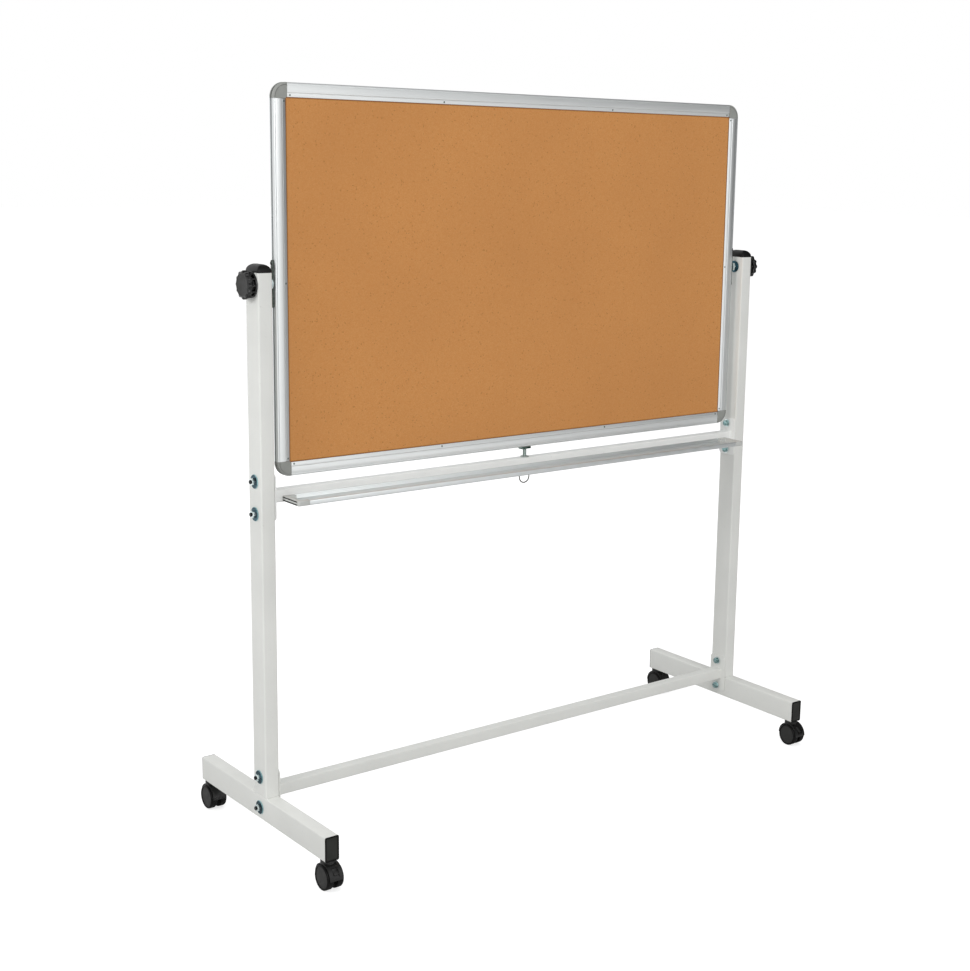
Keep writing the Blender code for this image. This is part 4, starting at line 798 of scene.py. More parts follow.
@dataclass
class Stand:
    """The white steel stand: posts, feet, crossbars, their plugs and their bolts."""

    width: float = 30
    depth: float = 50
    wall: float = 1.5
    edge_radius: float = 3.2
    edge_steps: int = 6
    hollow: float = 30
    post_low: float = 108.3
    post_high: float = 1148
    foot_half: float = 252
    foot_low: float = 58
    foot_high: float = 108
    bar_half: float = 12.5
    bar_radius: float = 2.2
    bar_heights: tuple[float, float] = (716, 115)
    plate_face: float = 621.7
    plate_thickness: float = 2.4
    plate_half: float = 45
    plate_radius: float = 8
    bead_margin: float = 2
    bead_width: float = 1.8
    bolt_spread: float = 32
    plug_play: float = 0.4
    dome_flange: float = 2.4
    dome_rise: float = 15.5
    dome_reach: float = math.radians(76)
    dome_steps: int = 12
    cap_flange: float = 2
    cap_rim: float = 1.8
    cap_sink: float = 1

    def build(self) -> None:
        """Builds the whole stand."""
        self.build_tubes()
        # The upper crossbar takes the lighter copy of the coat, as painted light.
        self.build_crossbar("upper_crossbar", self.bar_heights[0], LIT_BAR_COAT)
        self.build_crossbar("lower_crossbar", self.bar_heights[1], COAT)
        self.build_bolts()
        self.build_post_caps()
        self.build_foot_caps()

    def build_tubes(self) -> None:
        """The two posts and the two long feet, rectangular tubes whose ends are hollow."""
        wide, deep, long = self.width / 2, self.depth / 2, self.foot_half
        boxes = (
            ("upright", "post", Z, (deep, self.post_low, self.post_high)),
            ("floor_tube", "foot", Y, (long, self.foot_low, self.foot_high)),
        )
        for title, node, run, (half, low, high) in boxes:
            tube = Workpiece.block(node, (-wide, MIDDLE_Y - half, low), (wide, MIDDLE_Y + half, high))
            tube.round_edges(self.edge_radius, self.edge_steps, along(run))
            for way in (-1, 1):
                tube.pull(tuple(run.vector * -way * self.hollow), self.wall, facing(run, way))
            tube.issue(COAT, both_sides(title, node, lambda sign: shift(sign * POST_X)))

    def build_crossbar(self, name: str, height: float, finish: Finish) -> None:
        """A square crossbar with a welded plate and its bead at both ends.

        Args:
            name: The crossbar's name.
            height: The height of its middle.
            finish: Its finish.
        """
        def beam(title: str, start: float, end: float, half_y: float, half_z: float) -> Workpiece:
            """Starts a block round the crossbar's axis."""
            low = (start, MIDDLE_Y - half_y, height - half_z)
            return Workpiece.block(title, low, (end, MIDDLE_Y + half_y, height + half_z))

        half, inner = self.bar_half, self.plate_face - self.plate_thickness
        bar = beam(f"{name}_tube", -inner - 1, inner + 1, half, half)
        bar.round_edges(self.bar_radius, 5, along(X))
        plate = beam("plate", inner, self.plate_face, self.depth / 2, self.plate_half)
        plate.round_edges(self.plate_radius, 8, along(X))
        plate.soften(0.5)
        bead_half, start = half + self.bead_margin, inner - self.bead_width
        bead = beam("bead", start, inner + HAIR, bead_half, bead_half)
        bead.round_edges(2 * self.bead_width, 5, along(X))
        bead.round_edges(1.5, 3, at(X, start))
        plate.absorb(bead)
        other = plate.twin("far_plate", turn(Z, 180)).place(shift(y=2 * MIDDLE_Y))
        bar.absorb(plate, other).hand_over(finish, name)

    def bolt(self) -> Workpiece:
        """Makes a bolt with washers and nut along z; z = 0 is the tube's outer face and outwards is up."""
        bolt = Workpiece.turned("bolt", [(13.4, 0.3), (13.8, 0.6), (13.8, 1.7), (13.3, 2.1)], 48)
        nut = Workpiece.hexagon("nut", 2.1, 8.6, (0.6, 0.6))
        crests = [(4.0, 8.9), (3.5, 9.2), (4.0, 9.5), (3.5, 9.85), (4.0, 10.2), (3.5, 10.55), (4.0, 10.9)]
        thread = Workpiece.turned("thread", [(4.0, 8.6), *crests, (3.2, 11.6)], 32)
        shank = Workpiece.rod("shank", Z, (0, 0, -13), 4, 43.2, 32)
        under_head = [(8.7, -34.6), (9, -34.9), (9, -36.1), (8.7, -36.4)]
        inner_washer = Workpiece.turned("inner_washer", under_head, 48)
        head = Workpiece.hexagon("head", -41.7, -36.4, (0.7, 0.15))
        bolt.absorb(nut, thread, shank, inner_washer, head)
        bolt.paint(WASHER_ZINC, between(Z, 0, 2.2), lambda face: face.normal.z < 0.99)
        # The washer's flat top round the nut is painted dark as the shadow that the nut casts.
        bolt.paint(NAVY_ZINC_AND_PAINTED_SHADOW, at(Z, 2.1), facing(Z))
        # The thread's end takes the dark copy of the zinc, a painted reflection.
        bolt.paint(DARK_THREAD, between(Z, 8.61), inside(4.1))
        bolt.paint(BLUE_ZINC, between(Z, -math.inf, -36.41))
        return bolt

    def build_bolts(self) -> None:
        """Eight bolts through posts and feet into the end plates."""
        places = {}
        for side, sign in SIDES.items():
            for bar, height in zip(("upper", "lower"), self.bar_heights):
                for rank, way in (("top", 1), ("bottom", -1)):
                    place = shift(sign * (POST_X + self.width / 2), MIDDLE_Y, height + way * self.bolt_spread)
                    skew = turn(Z, 17 * (way + sign) + 23 * (bar == "upper"))
                    names = (f"{side}_{bar}_{rank}_bolt_set", f"{side}_{bar}_bar_{rank}_bolt")
                    places[names] = place @ turn(Y, sign * 90) @ skew
        self.bolt().issue(BRIGHT_ZINC, places)

    def plug(self, name: str, flange: float, plug_depth: float) -> Workpiece:
        """Makes a tube plug's flange on z = 0 with its plug below.

        Args:
            name: The plug's name.
            flange: How thick its flange is.
            plug_depth: How far it enters the tube.

        Returns:
            The plug.
        """
        wide, deep = self.width / 2, self.depth / 2
        work = Workpiece.block(name, (-wide, -deep, 0.3), (wide, deep, flange))
        work.round_edges(self.edge_radius, self.edge_steps, along(Z))
        wide, deep = (half - self.wall - self.plug_play for half in (wide, deep))
        core = Workpiece.block("core", (-wide, -deep, -plug_depth), (wide, deep, 0.6))
        core.round_edges(1, 3, along(Z))
        return work.absorb(core)

    def build_post_caps(self) -> None:
        """Domed plugs on the posts."""
        flange, reach = self.dome_flange, self.dome_reach
        dome = self.plug("dome", flange, 12)
        width, depth, level = self.width, self.depth, flange
        with dome.editing(FACE, facing(Z), at(Z, flange)):
            for step in range(1, self.dome_steps + 1):
                angle = step / self.dome_steps * reach
                new_width = self.width * math.cos(angle)
                new_depth = self.depth - (self.width - new_width)
                new_level = flange + (self.dome_rise - flange) * math.sin(angle) / math.sin(reach)
                dome.step_up(new_level - level, new_level, new_width / width, new_depth / depth)
                width, depth, level = new_width, new_depth, new_level
        top = lambda sign: shift(sign * POST_X, MIDDLE_Y, self.post_high)
        dome.issue(CAP_BLACK, both_sides("dome_plug", "post_cap", top))

    def build_foot_caps(self) -> None:
        """Flat plugs with a raised rim in the ends of the feet."""
        flange, height = self.cap_flange, (self.foot_low + self.foot_high) / 2
        cap = self.plug("flat_plug", flange, 7)
        cap.round_edges(0.9, 3, at(Z, flange))
        cap.pull((0, 0, -self.cap_sink), self.cap_rim, at(Z, flange), facing(Z))
        # The sunk face takes the grey copy as painted light; the rest of the cap takes the darkest copy as painted
        # shade.
        cap.paint(GREY_LIGHT_AND_SHADE, at(Z, flange - self.cap_sink), facing(Z))
        places = {}
        for side, sign in SIDES.items():
            for end, way in ENDS.items():
                place = shift(sign * POST_X, MIDDLE_Y + way * self.foot_half, height)
                places[f"{side}_{end}_flat_plug", f"{side}_foot_{end}_cap"] = place @ turn(X, -90 * way)
        cap.issue(DEEP_BLACK, places)


@dataclass
class PenTray:
    """The extruded pen tray and its moulded ends."""

    half: float = 574.7
    end: float = 600
    front: float = -70.8
    rear: float = -8.8
    low: float = 705.5
    high: float = 716
    wall: float = 2.2
    lip: float = 8
    lip_radius: float = 2.4
    groove_places: tuple[float, float] = (14, 30)
    groove_edges: tuple[float, ...] = (0, 0.3, 1.2, 1.5)
    groove_depth: float = 0.7
    end_radius: float = 5
    slot_spread: float = 2.9
    slot_half: float = 1.1
    slot_depth: float = 8

    def build(self) -> None:
        """The extrusion with an upstand, fine grooves in its floor and a rounded lip, and its ends."""
        tray = Workpiece.block("tray_channel", (-self.half, self.front, self.low), (self.half, self.rear, self.high))
        back, lip = self.rear - self.wall, self.front + self.lip
        tray.cut(Y, back, back - HAIR, lip, lip + HAIR)
        fall = self.wall + self.low - self.high
        tray.move(FACE, (0, 0, fall), facing(Z), between(Y, lip + 1, back - 1))
        for place in self.groove_places:
            edges = [lip + place + edge for edge in self.groove_edges]
            tray.cut(Y, *edges)
            tray.move(FACE, (0, 0, -self.groove_depth), facing(Z), between(Y, edges[1], edges[2]))

        def on_lip(edge: Edge) -> bool:
            """Tells whether the edge is one of the lip's."""
            return at(Y, self.front)(edge) or at(Y, lip)(edge) and at(Z, self.high)(edge)

        tray.round_edges(self.lip_radius, 5, along(X), on_lip)
        tray.soften(0.25, 2, 50)
        tray.hand_over(TRAY_METAL, "pen_tray")
        self.build_ends()

    def build_ends(self) -> None:
        """End caps with two slots across their end face and a pocket in their floor."""
        length = self.end - self.half - 0.3
        cap = Workpiece.block("tray_end", (0, self.front, self.low), (length, self.rear, self.high))
        cap.round_edges(self.end_radius, 8, along(Z), at(X, length), at(Y, self.front))
        corner_x, corner_y = length - self.end_radius - HAIR, self.front + self.end_radius + HAIR

        def on_rim(edge: Edge) -> bool:
            """Tells whether the edge follows the top's or the bottom's outer rim."""
            x, y, _ = middle_of(edge)
            return near(x, length) or near(y, self.front) or x > corner_x and y < corner_y

        cap.round_edges(1.8, 4, on_rim, between(X, 0.5), lambda edge: not along(Z)(edge))
        middle, bottom = (self.low + self.high) / 2, length - self.slot_depth
        levels = (middle - self.slot_spread, middle + self.slot_spread)
        for level in levels:
            low = (bottom, self.front + 5.2, level - self.slot_half)
            cap.carve(Workpiece.block("slot", low, (length + 1, self.rear - 2.4, level + self.slot_half)))
        low = (-1, self.front + self.lip, self.low + 3.2)
        pocket = Workpiece.block("pocket", low, (length - 9, self.rear - 11, self.high + 1))
        pocket.round_edges(2.5, 4, along(Z))
        cap.carve(pocket)
        cap.soften(0.25, 2, 60)
        reach = self.slot_half + HAIR
        # The slots' insides are painted dark grey as the shade inside them.
        cap.paint(
            GREY_LIGHT_AND_SHADE, between(X, bottom - HAIR, length - 0.4), between(Y, self.front + 5, self.rear - 2.2),
            lambda face: any(between(Z, level - reach, level + reach)(face) for level in levels),
        )
        for side, sign in SIDES.items():
            place = shift(sign * (self.end - length)) @ Matrix.Scale(sign, 4, (1, 0, 0))
            cap.twin(f"tray_{side}_end", place).hand_over(TRAY_PLASTIC, f"tray_{side}_cap")
        cap.discard()


@dataclass
class Latch:
    """The spring latch in the middle of the upper crossbar."""

    strike_low: float = 747.3
    strike_high: float = 751.3
    strike_half: tuple[float, float] = (13, 7)
    strike_hole: float = 4.3
    sink_x: float = 9
    housing_low: float = 702
    housing_high: float = 730.8
    housing_bore: float = 4.35
    pin_radius: float = 4
    pin_tip: float = 746.7
    eye_height: float = 697.8
    ring_radius: float = 13.1
    wire_radius: float = 1.35
    spring_wire: float = 0.6
    spring_turns: int = 5
    spring_seat: float = 704.8
    stroke: float = 12

    def build(self) -> None:
        """Builds plate, housing, pin, ring and spring."""
        self.build_strike()
        self.build_housing()
        self.build_pin()
        centre = metres(0, MIDDLE_Y, self.eye_height - self.ring_radius)
        ring = Workpiece.start(
            "ring_of_wire", bpy.ops.mesh.primitive_torus_add, major_radius=self.ring_radius * MM,
            minor_radius=self.wire_radius * MM, major_segments=72, minor_segments=18, location=centre,
            rotation=(math.pi / 2, 0, 0),
        )
        ring.hand_over(SPRING_WIRE, "pull_ring", smooth_below=60)
        self.build_spring()

    def build_strike(self) -> None:
        """The plate under the board, with the pin's hole and two sunk screws."""
        wide, deep = self.strike_half
        plate = Workpiece.block("strike", (-wide, -deep, self.strike_low), (wide, deep, self.strike_high))
        plate.round_edges(2, 4, along(Z))
        level = (self.strike_low + self.strike_high) / 2
        plate.carve(Workpiece.rod("hole", Z, (0, 0, level), self.strike_hole, 12, 40))
        for x in (-self.sink_x, self.sink_x):
            sink = Workpiece.turned("sink", [(1.0, self.strike_low + 1.2), (2.4, self.strike_low - HAIR)], 24)
            plate.carve(sink.place(shift(x)))
        plate.soften(0.4)
        plate.place(shift(y=MIDDLE_Y)).hand_over(GREEN_ZINC, "strike_plate")

    def build_housing(self) -> None:
        """The bushing that guides the pin."""
        low, high, bore = self.housing_low, self.housing_high, self.housing_bore
        profile = [
            (bore, low + 2.4), (bore, low), (7.2, low), (7.8, low + 0.6), (7.8, high - 2), (9.1, high - 2),
            (9.5, high - 1.6), (9.5, high - 0.5), (9.0, high), (bore, high), (bore, high - 2.4),
        ]
        housing = Workpiece.turned("latch_bushing", profile, 56)
        housing.place(shift(y=MIDDLE_Y)).hand_over(PALE_ZINC, "latch_housing")

    def build_pin(self) -> None:
        """The pin with its collar and the eye for the ring."""
        foot, collar, tip, radius = self.eye_height + 3, self.housing_high - 2.8, self.pin_tip, self.pin_radius
        profile = [
            (3.4, foot), (radius, foot + 0.6), (radius, collar - 3), (5.8, collar - 3), (5.8, collar),
            (radius, collar), (radius, tip - 1.2), (3.6, tip - 0.4), (2.8, tip),
        ]
        pin = Workpiece.turned("latch_bolt", profile, 40)
        eye = Workpiece.rod("eye", X, (0, 0, self.eye_height), 4.2, 5, 48)
        eye.carve(Workpiece.rod("eye_hole", X, (0, 0, self.eye_height), 2.2, 9, 32))
        pin.carve(eye, Carving.WELD)
        pin.soften(0.3, 2, 50)
        pin.place(shift(y=MIDDLE_Y)).hand_over(WORN_ZINC, "latch_pin")

    def build_spring(self) -> None:
        """The coil spring in the housing."""
        low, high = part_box("latch_spring")
        wire, turns = self.spring_wire * MM, self.spring_turns
        foot, top = low[2] + wire, high[2] - wire
        place = ((high[0] - low[0]) / 2 - wire, 0, foot)
        circle = {"vertices": 12, "radius": wire, "location": place, "rotation": (math.pi / 2, 0, 0)}
        coil = Workpiece.start("latch_coil", bpy.ops.mesh.primitive_circle_add, **circle)
        steps = 24 * turns
        coil.modify("SCREW", angle=turns * math.tau, screw_offset=top - foot, steps=steps, render_steps=steps)
        with coil.editing():
            bpy.ops.mesh.select_all(action="SELECT")
            bpy.ops.mesh.fill_holes(sides=12)
        coil.place(shift(y=MIDDLE_Y)).hand_over(SPRING_WIRE, "latch_spring", smooth_below=60)
        seat = metres(0, MIDDLE_Y, self.spring_seat)
        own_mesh(coil.piece)


# ---------------------------------------------------------------- board


@dataclass
class Board:
    """The board: rails, corners, lip screws, panel, and the pivots at its sides."""

    half_width: float = 606.5
    low: float = 751.6
    high: float = 1498.6
    half_thick: float = 8
    rail_depth: float = 27.3
    face: float = 19.5
    face_radius: float = 1.7
    groove_end: float = 20.8
    groove_depth: float = 2.1
    lip_setback: float = 1.2
    lip_fall: float = 1.3
    slot_half: float = 5.3
    slot_depth: float = 8.8
    channel_half: float = 2.9
    channel_depth: float = 4.5
    edge_radius: float = 3.8
    edge_steps: int = 6
    bead_half: float = 0.6
    bead_depth: float = 1.2
    level_half: float = 576.4
    upright_half: float = 343.4
    reach: float = 29.8
    corner_radius: float = 28
    corner_pocket: float = 18.3
    screw_line: float = 23.6
    level_screws: tuple[float, ...] = (-570, -222, 222, 570)
    upright_screws: tuple[float, ...] = (-338.5, 0, 338.5)
    plate_half: tuple[float, float] = (45, 3.9)
    plate_face: float = 3.3
    plate_screw: float = 39
    nut_top: float = 12.7

    @property
    def pivot_height(self) -> float:
        """The height of the board's axis."""
        return (self.low + self.high) / 2

    @property
    def in_channel(self) -> Test:
        """The test for the bottom of the channel along the outer side."""
        return between(Y, -self.channel_half / 2, self.channel_half / 2)

    def build(self) -> None:
        """Builds the whole board."""
        self.build_rails()
        self.build_corners()
        self.build_lip_screws()
        for node, finish in (("cork_sheet", CORK), ("core_board", FIBRE), ("whiteboard_sheet", LACQUER)):
            for slot in frame["nodes"][node].material_slots:
                slot.material = finish.material()
        self.build_pivots()

    def side_place(self, sign: int) -> Matrix:
        """Gives the place of the board's middle on the left (-1) or the right (1), z outwards."""
        return shift(sign * self.half_width, MIDDLE_Y, self.pivot_height) @ turn(Y, 90 * sign)

    def cut_strip(self, work: Workpiece, half: float) -> None:
        """Cuts a strip along the middle of a rail or a corner, with a hair's width for its walls."""
        work.cut(Y, -half, HAIR - half, half - HAIR, half)

    def rail(self, name: str, half: float) -> Workpiece:
        """Makes a rail along x, its outer face at z = 0 and the panel below it.

        Args:
            name: The rail's name.
            half: Half of its length.

        Returns:
            The rail.
        """
        thick, depth, groove = self.half_thick, self.rail_depth, self.groove_end
        rail = Workpiece.block(name, (-half, -thick, -depth), (half, thick, 0))
        rail.cut(Z, -self.face, -self.face - HAIR, HAIR - groove, -groove)
        for way in (-1, 1):
            broad = facing(Y, way)
            rail.move(FACE, (0, -way * self.lip_setback, 0), broad, between(Z, -math.inf, -groove))
            groove_middle = at(Z, -(self.face + groove) / 2)
            rail.move(FACE, (0, -way * self.groove_depth, 0), broad, groove_middle)

        def bevel(height: float, half_y: float, radius: float, steps: int) -> None:
            """Rounds the two long edges at a height, front and back."""
            rail.round_edges(radius, steps, along(X), at(Z, height), at(Y, half_y, -half_y))

        bevel(-self.face, thick, self.face_radius, 4)
        bevel(0, thick, self.edge_radius, self.edge_steps)
        start, end = -self.edge_radius - HAIR, -self.edge_radius - 2 * self.bead_half
        rail.cut(Z, start, start - HAIR, end + HAIR, end)
        lip_low = thick - self.lip_setback
        for way in (-1, 1):
            bead_middle = (facing(Y, way), at(Z, (start + end) / 2), at(Y, way * thick))
            rail.move(FACE, (0, -way * self.bead_depth, 0), *bead_middle)
            rail.move(VERT, (0, -way * self.lip_fall, 0), at(Z, -depth), at(Y, way * lip_low))
        bevel(-depth, lip_low - self.lip_fall, 0.6, 3)
        bevel(end, thick, 0.5, 2)
        self.cut_strip(rail, self.channel_half)
        rail.move(FACE, (0, 0, -self.channel_depth), facing(Z), self.in_channel)
        self.cut_strip(rail, self.slot_half)
        room = self.slot_half - HAIR
        in_slot = (facing(Z, -1), between(Y, -room, room), at(Z, -depth))
        rail.move(FACE, (0, 0, self.slot_depth), *in_slot)
        return rail

    def build_rails(self) -> None:
        """The four aluminium rails."""
        level = self.rail("level_rail", self.level_half)
        upright = self.rail("upright_rail", self.upright_half)
        # The level rails take the lighter copy and the upright rails the darker one: painted light and shade.
        level.issue(LIT_RAIL_LEVEL, {
            ("top_extrusion", "top_rail"): shift(0, MIDDLE_Y, self.high),
            ("bottom_extrusion", "bottom_rail"): shift(0, MIDDLE_Y, self.low) @ turn(Y, 180),
        })
        upright.issue(SHADED_RAIL_UPRIGHT, both_sides("extrusion", "rail", self.side_place))

    def corner(self) -> Workpiece:
        """Makes the top right corner, its outer corner at the origin and the board to its left and below."""
        thick, radius, far = self.half_thick, self.corner_radius, -self.reach - 1
        corner = Workpiece.block("corner", (-self.reach, -thick, -self.reach), (0, thick, 0))
        corner.round_edges(radius, 20, along(Y), at(X, 0), at(Z, 0))
        for name, half, end in (("notch", 20, self.rail_depth), ("pocket", self.slot_half, self.corner_pocket)):
            corner.carve(Workpiece.block(name, (far, -half, far), (-end, half, -end)))

        def on_rim(edge: Edge) -> bool:
            """Tells whether the edge follows the outer rim of a broad face."""
            middle, ends = middle_of(edge), [middle_of(vert) for vert in edge.verts]
            if along(Y)(edge) or not near(abs(middle.y), thick):
                return False
            if min(max(end.x for end in ends), max(end.z for end in ends)) <= HAIR - radius:
                return near(middle.z, 0) or near(middle.x, 0)
            return all(math.hypot(end.x + radius, end.z + radius) > radius - 0.2 for end in ends)

        def in_groove(face: Face) -> bool:
            """Tells whether the face is part of the channel's bottom on the outer side."""
            middle = middle_of(face)
            outside = max(face.normal.x, face.normal.z) > 0.02 and abs(face.normal.y) < 0.01
            return outside and (max(middle.x, middle.z) > -2 or (middle + Vector((radius, 0, radius))).length > 20)

        corner.round_edges(self.edge_radius, self.edge_steps, on_rim)
        outer = radius - self.edge_radius - HAIR
        for way in (-1, 1):
            place = (-radius, way * (thick - self.bead_depth + 5), -radius)
            ring = Workpiece.rod("bead", Y, place, outer, 10, 160)
            ring.carve(Workpiece.rod("core", Y, place, outer - 2 * self.bead_half, 12, 160))
            corner.carve(ring)
        self.cut_strip(corner, self.channel_half)
        share = 1 - self.channel_depth / radius
        with corner.editing(FACE, self.in_channel, in_groove):
            bpy.ops.transform.resize(value=(share, 1, share), center_override=metres(-radius, 0, -radius))
        return corner

    def build_corners(self) -> None:
        """The four plastic corners."""
        places = {}
        spots = (("top", "right"), ("bottom", "right"), ("bottom", "left"), ("top", "left"))
        for quarter, (rank, side) in enumerate(spots):
            height = self.high if rank == "top" else self.low
            place = shift(SIDES[side] * self.half_width, MIDDLE_Y, height) @ turn(Y, 90 * quarter)
            places[f"{rank}_{side}_elbow", f"{rank}_{side}_corner"] = place
        self.corner().issue(CORNER_PLASTIC, places)

    def build_lip_screws(self) -> None:
        """Small sunk screws along the sloping lips, front and back."""
        pattern = Workpiece.turned("lip_screw", [(1.9, -0.2), (1.9, 0.1), (1.5, 0.45)], 24)
        pattern.carve(Workpiece.block("drive", (-2, -0.25, 0.15), (2, 0.25, 1)))
        line_x, line_z = self.half_width - self.screw_line, self.pivot_height - self.low - self.screw_line
        spots = [(x, rise * line_z, 0, -rise) for rise in (1, -1) for x in self.level_screws]
        spots += [(sign * line_x, rise, -sign, 0) for sign in SIDES.values() for rise in self.upright_screws]
        slope = self.lip_fall / (self.rail_depth - self.groove_end)
        face = self.half_thick - self.lip_setback - slope * (self.screw_line - self.groove_end)
        screws = []
        for way in (-1, 1):
            for index, (x, rise, inward_x, inward_z) in enumerate(spots):
                tilt = Vector((inward_x * slope, way, inward_z * slope)).to_track_quat("Z", "Y").to_matrix().to_4x4()
                place = shift(x, MIDDLE_Y + way * face, self.pivot_height + rise) @ tilt @ turn(Z, 41 * index)
                screws.append(pattern.twin(f"screw_{way}_{index}", place))
        pattern.discard()
        first = screws[0].absorb(*screws[1:])
        first.piece.name = "lip_screws"
        first.mend()
        first.piece.data.materials.append(WORN_ZINC.material())
        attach(first.piece, "board")

    def build_pivots(self) -> None:
        """At each side the pivot plate with its stud and screws, and the nut against the post."""
        (tall, wide), face, top = self.plate_half, self.plate_face, self.nut_top
        plate = Workpiece.block("pivot", (-tall, -wide, 0.3), (tall, wide, face))
        plate.round_edges(2.5, 4, along(Z))
        plate.soften(0.35)
        plate.absorb(Workpiece.turned("stud", [(5.0, 2.6), (5.0, 58.8)], 40))
        dome = [(3.7, face - HAIR), (3.7, face + 0.7), (3.2, face + 1.5), (1.9, face + 2.1)]
        for sign in (-1, 1):
            screw = Workpiece.turned("screw", dome, 32)
            for angle in (0, 90):
                cross = Workpiece.block("cross", (-0.4, -2, face + 1), (0.4, 2, face + 3))
                screw.carve(cross.place(turn(Z, angle + 20 * sign)))
            plate.absorb(screw.place(shift(sign * self.plate_screw)))
        nut = Workpiece.hexagon("spacer", 3.6, top, (0.8, 0.8), 17)
        washer = [(13.1, top), (13.5, top + 0.4), (13.5, top + 2.2), (13.1, top + 2.5)]
        nut.absorb(Workpiece.turned("washer", washer, 56))
        nut.paint(NAVY_ZINC_AND_PAINTED_SHADOW, between(Z, top - 0.05))
        for side, sign in SIDES.items():
            place = self.side_place(sign)
            # The pivot plate takes the darkened zinc, the painted shade of the gap.
            plate.twin(f"{side}_pivot_bracket", place).hand_over(PLATE_ZINC, f"{side}_pivot_plate")
            nut.twin(f"{side}_spacer_nut", place).hand_over(BRIGHT_ZINC, f"{side}_pivot_nut")
        plate.discard()
        nut.discard()


@dataclass
class Knobs:
    """The two lobed clamp knobs outside the posts."""

    post_face: float = 652
    height: float = 1125.1
    radius: float = 27.5
    lobes: int = 12
    steps: int = 10
    lobe_depth: float = 3.1
    lobed_from: float = 23.5
    disc_radius: float = 21
    disc_level: float = 19.7

    def build(self) -> None:
        """Builds one knob and copies it."""
        outside = lambda sign: shift(sign * self.post_face, MIDDLE_Y, self.height) @ turn(Y, 90 * sign)
        self.knob().issue(KNOB_BLACK, both_sides("clamp_knob", "knob", outside), smooth_below=45)

    def knob(self) -> Workpiece:
        """Makes a knob along z: flange, ribbed neck, lobed body and a smooth dished face."""
        sides = self.lobes * self.steps
        base = [(24.2, 0.3), (25.0, 1.0), (25.0, 3.1), (24.4, 3.8), (19.0, 4.2), (19.0, 9.0)]
        knob = Workpiece.turned("knob", base, sides)
        rings = [
            (20.0, 9.0), (25.6, 9.1), (26.9, 9.9), (27.4, 11.2), (self.radius, 13.0), (self.radius, 17.2),
            (27.1, 18.6), (26.2, 19.6), (22.4, 20.5), (21.3, 20.8), (20.6, 20.6), (20.2, 20.1), (12.0, 19.9),
            (3.0, 19.8),
        ]
        body = Workpiece.turned("body", rings, sides)

        def in_step(vert: Vert) -> bool:
            """Tells whether the point belongs to this step of every lobe's outline."""
            x, y, _ = middle_of(vert)
            turned = round(math.atan2(y, x) / math.tau * sides) % self.steps
            return turned == step and math.hypot(x, y) > self.lobed_from

        with body.editing():
            for step in range(1, self.steps):
                share = 1 - self.lobe_depth * (1 - math.cos(math.tau * step / self.steps)) / 2 / self.radius
                body.pick(VERT, in_step)
                bpy.ops.transform.resize(value=(share, share, 1), center_override=(0, 0, 0))
        rib = Workpiece.block("rib", (17, -1.5, 3.5), (24.7, 1.5, 9.6))
        rib.soften(0.5)
        for index in range(self.lobes):
            knob.absorb(rib.twin("rib_copy", turn(Z, index * 360 / self.lobes)))
        rib.discard()
        knob.absorb(body)
        # The dished face is painted the lighter copy of the knob's black, a painted reflection.
        on_disc = (between(Z, self.disc_level), inside(self.disc_radius), lambda face: face.normal.z > 0.9)
        knob.paint(LIT_KNOB_DISC, *on_disc)
        return knob


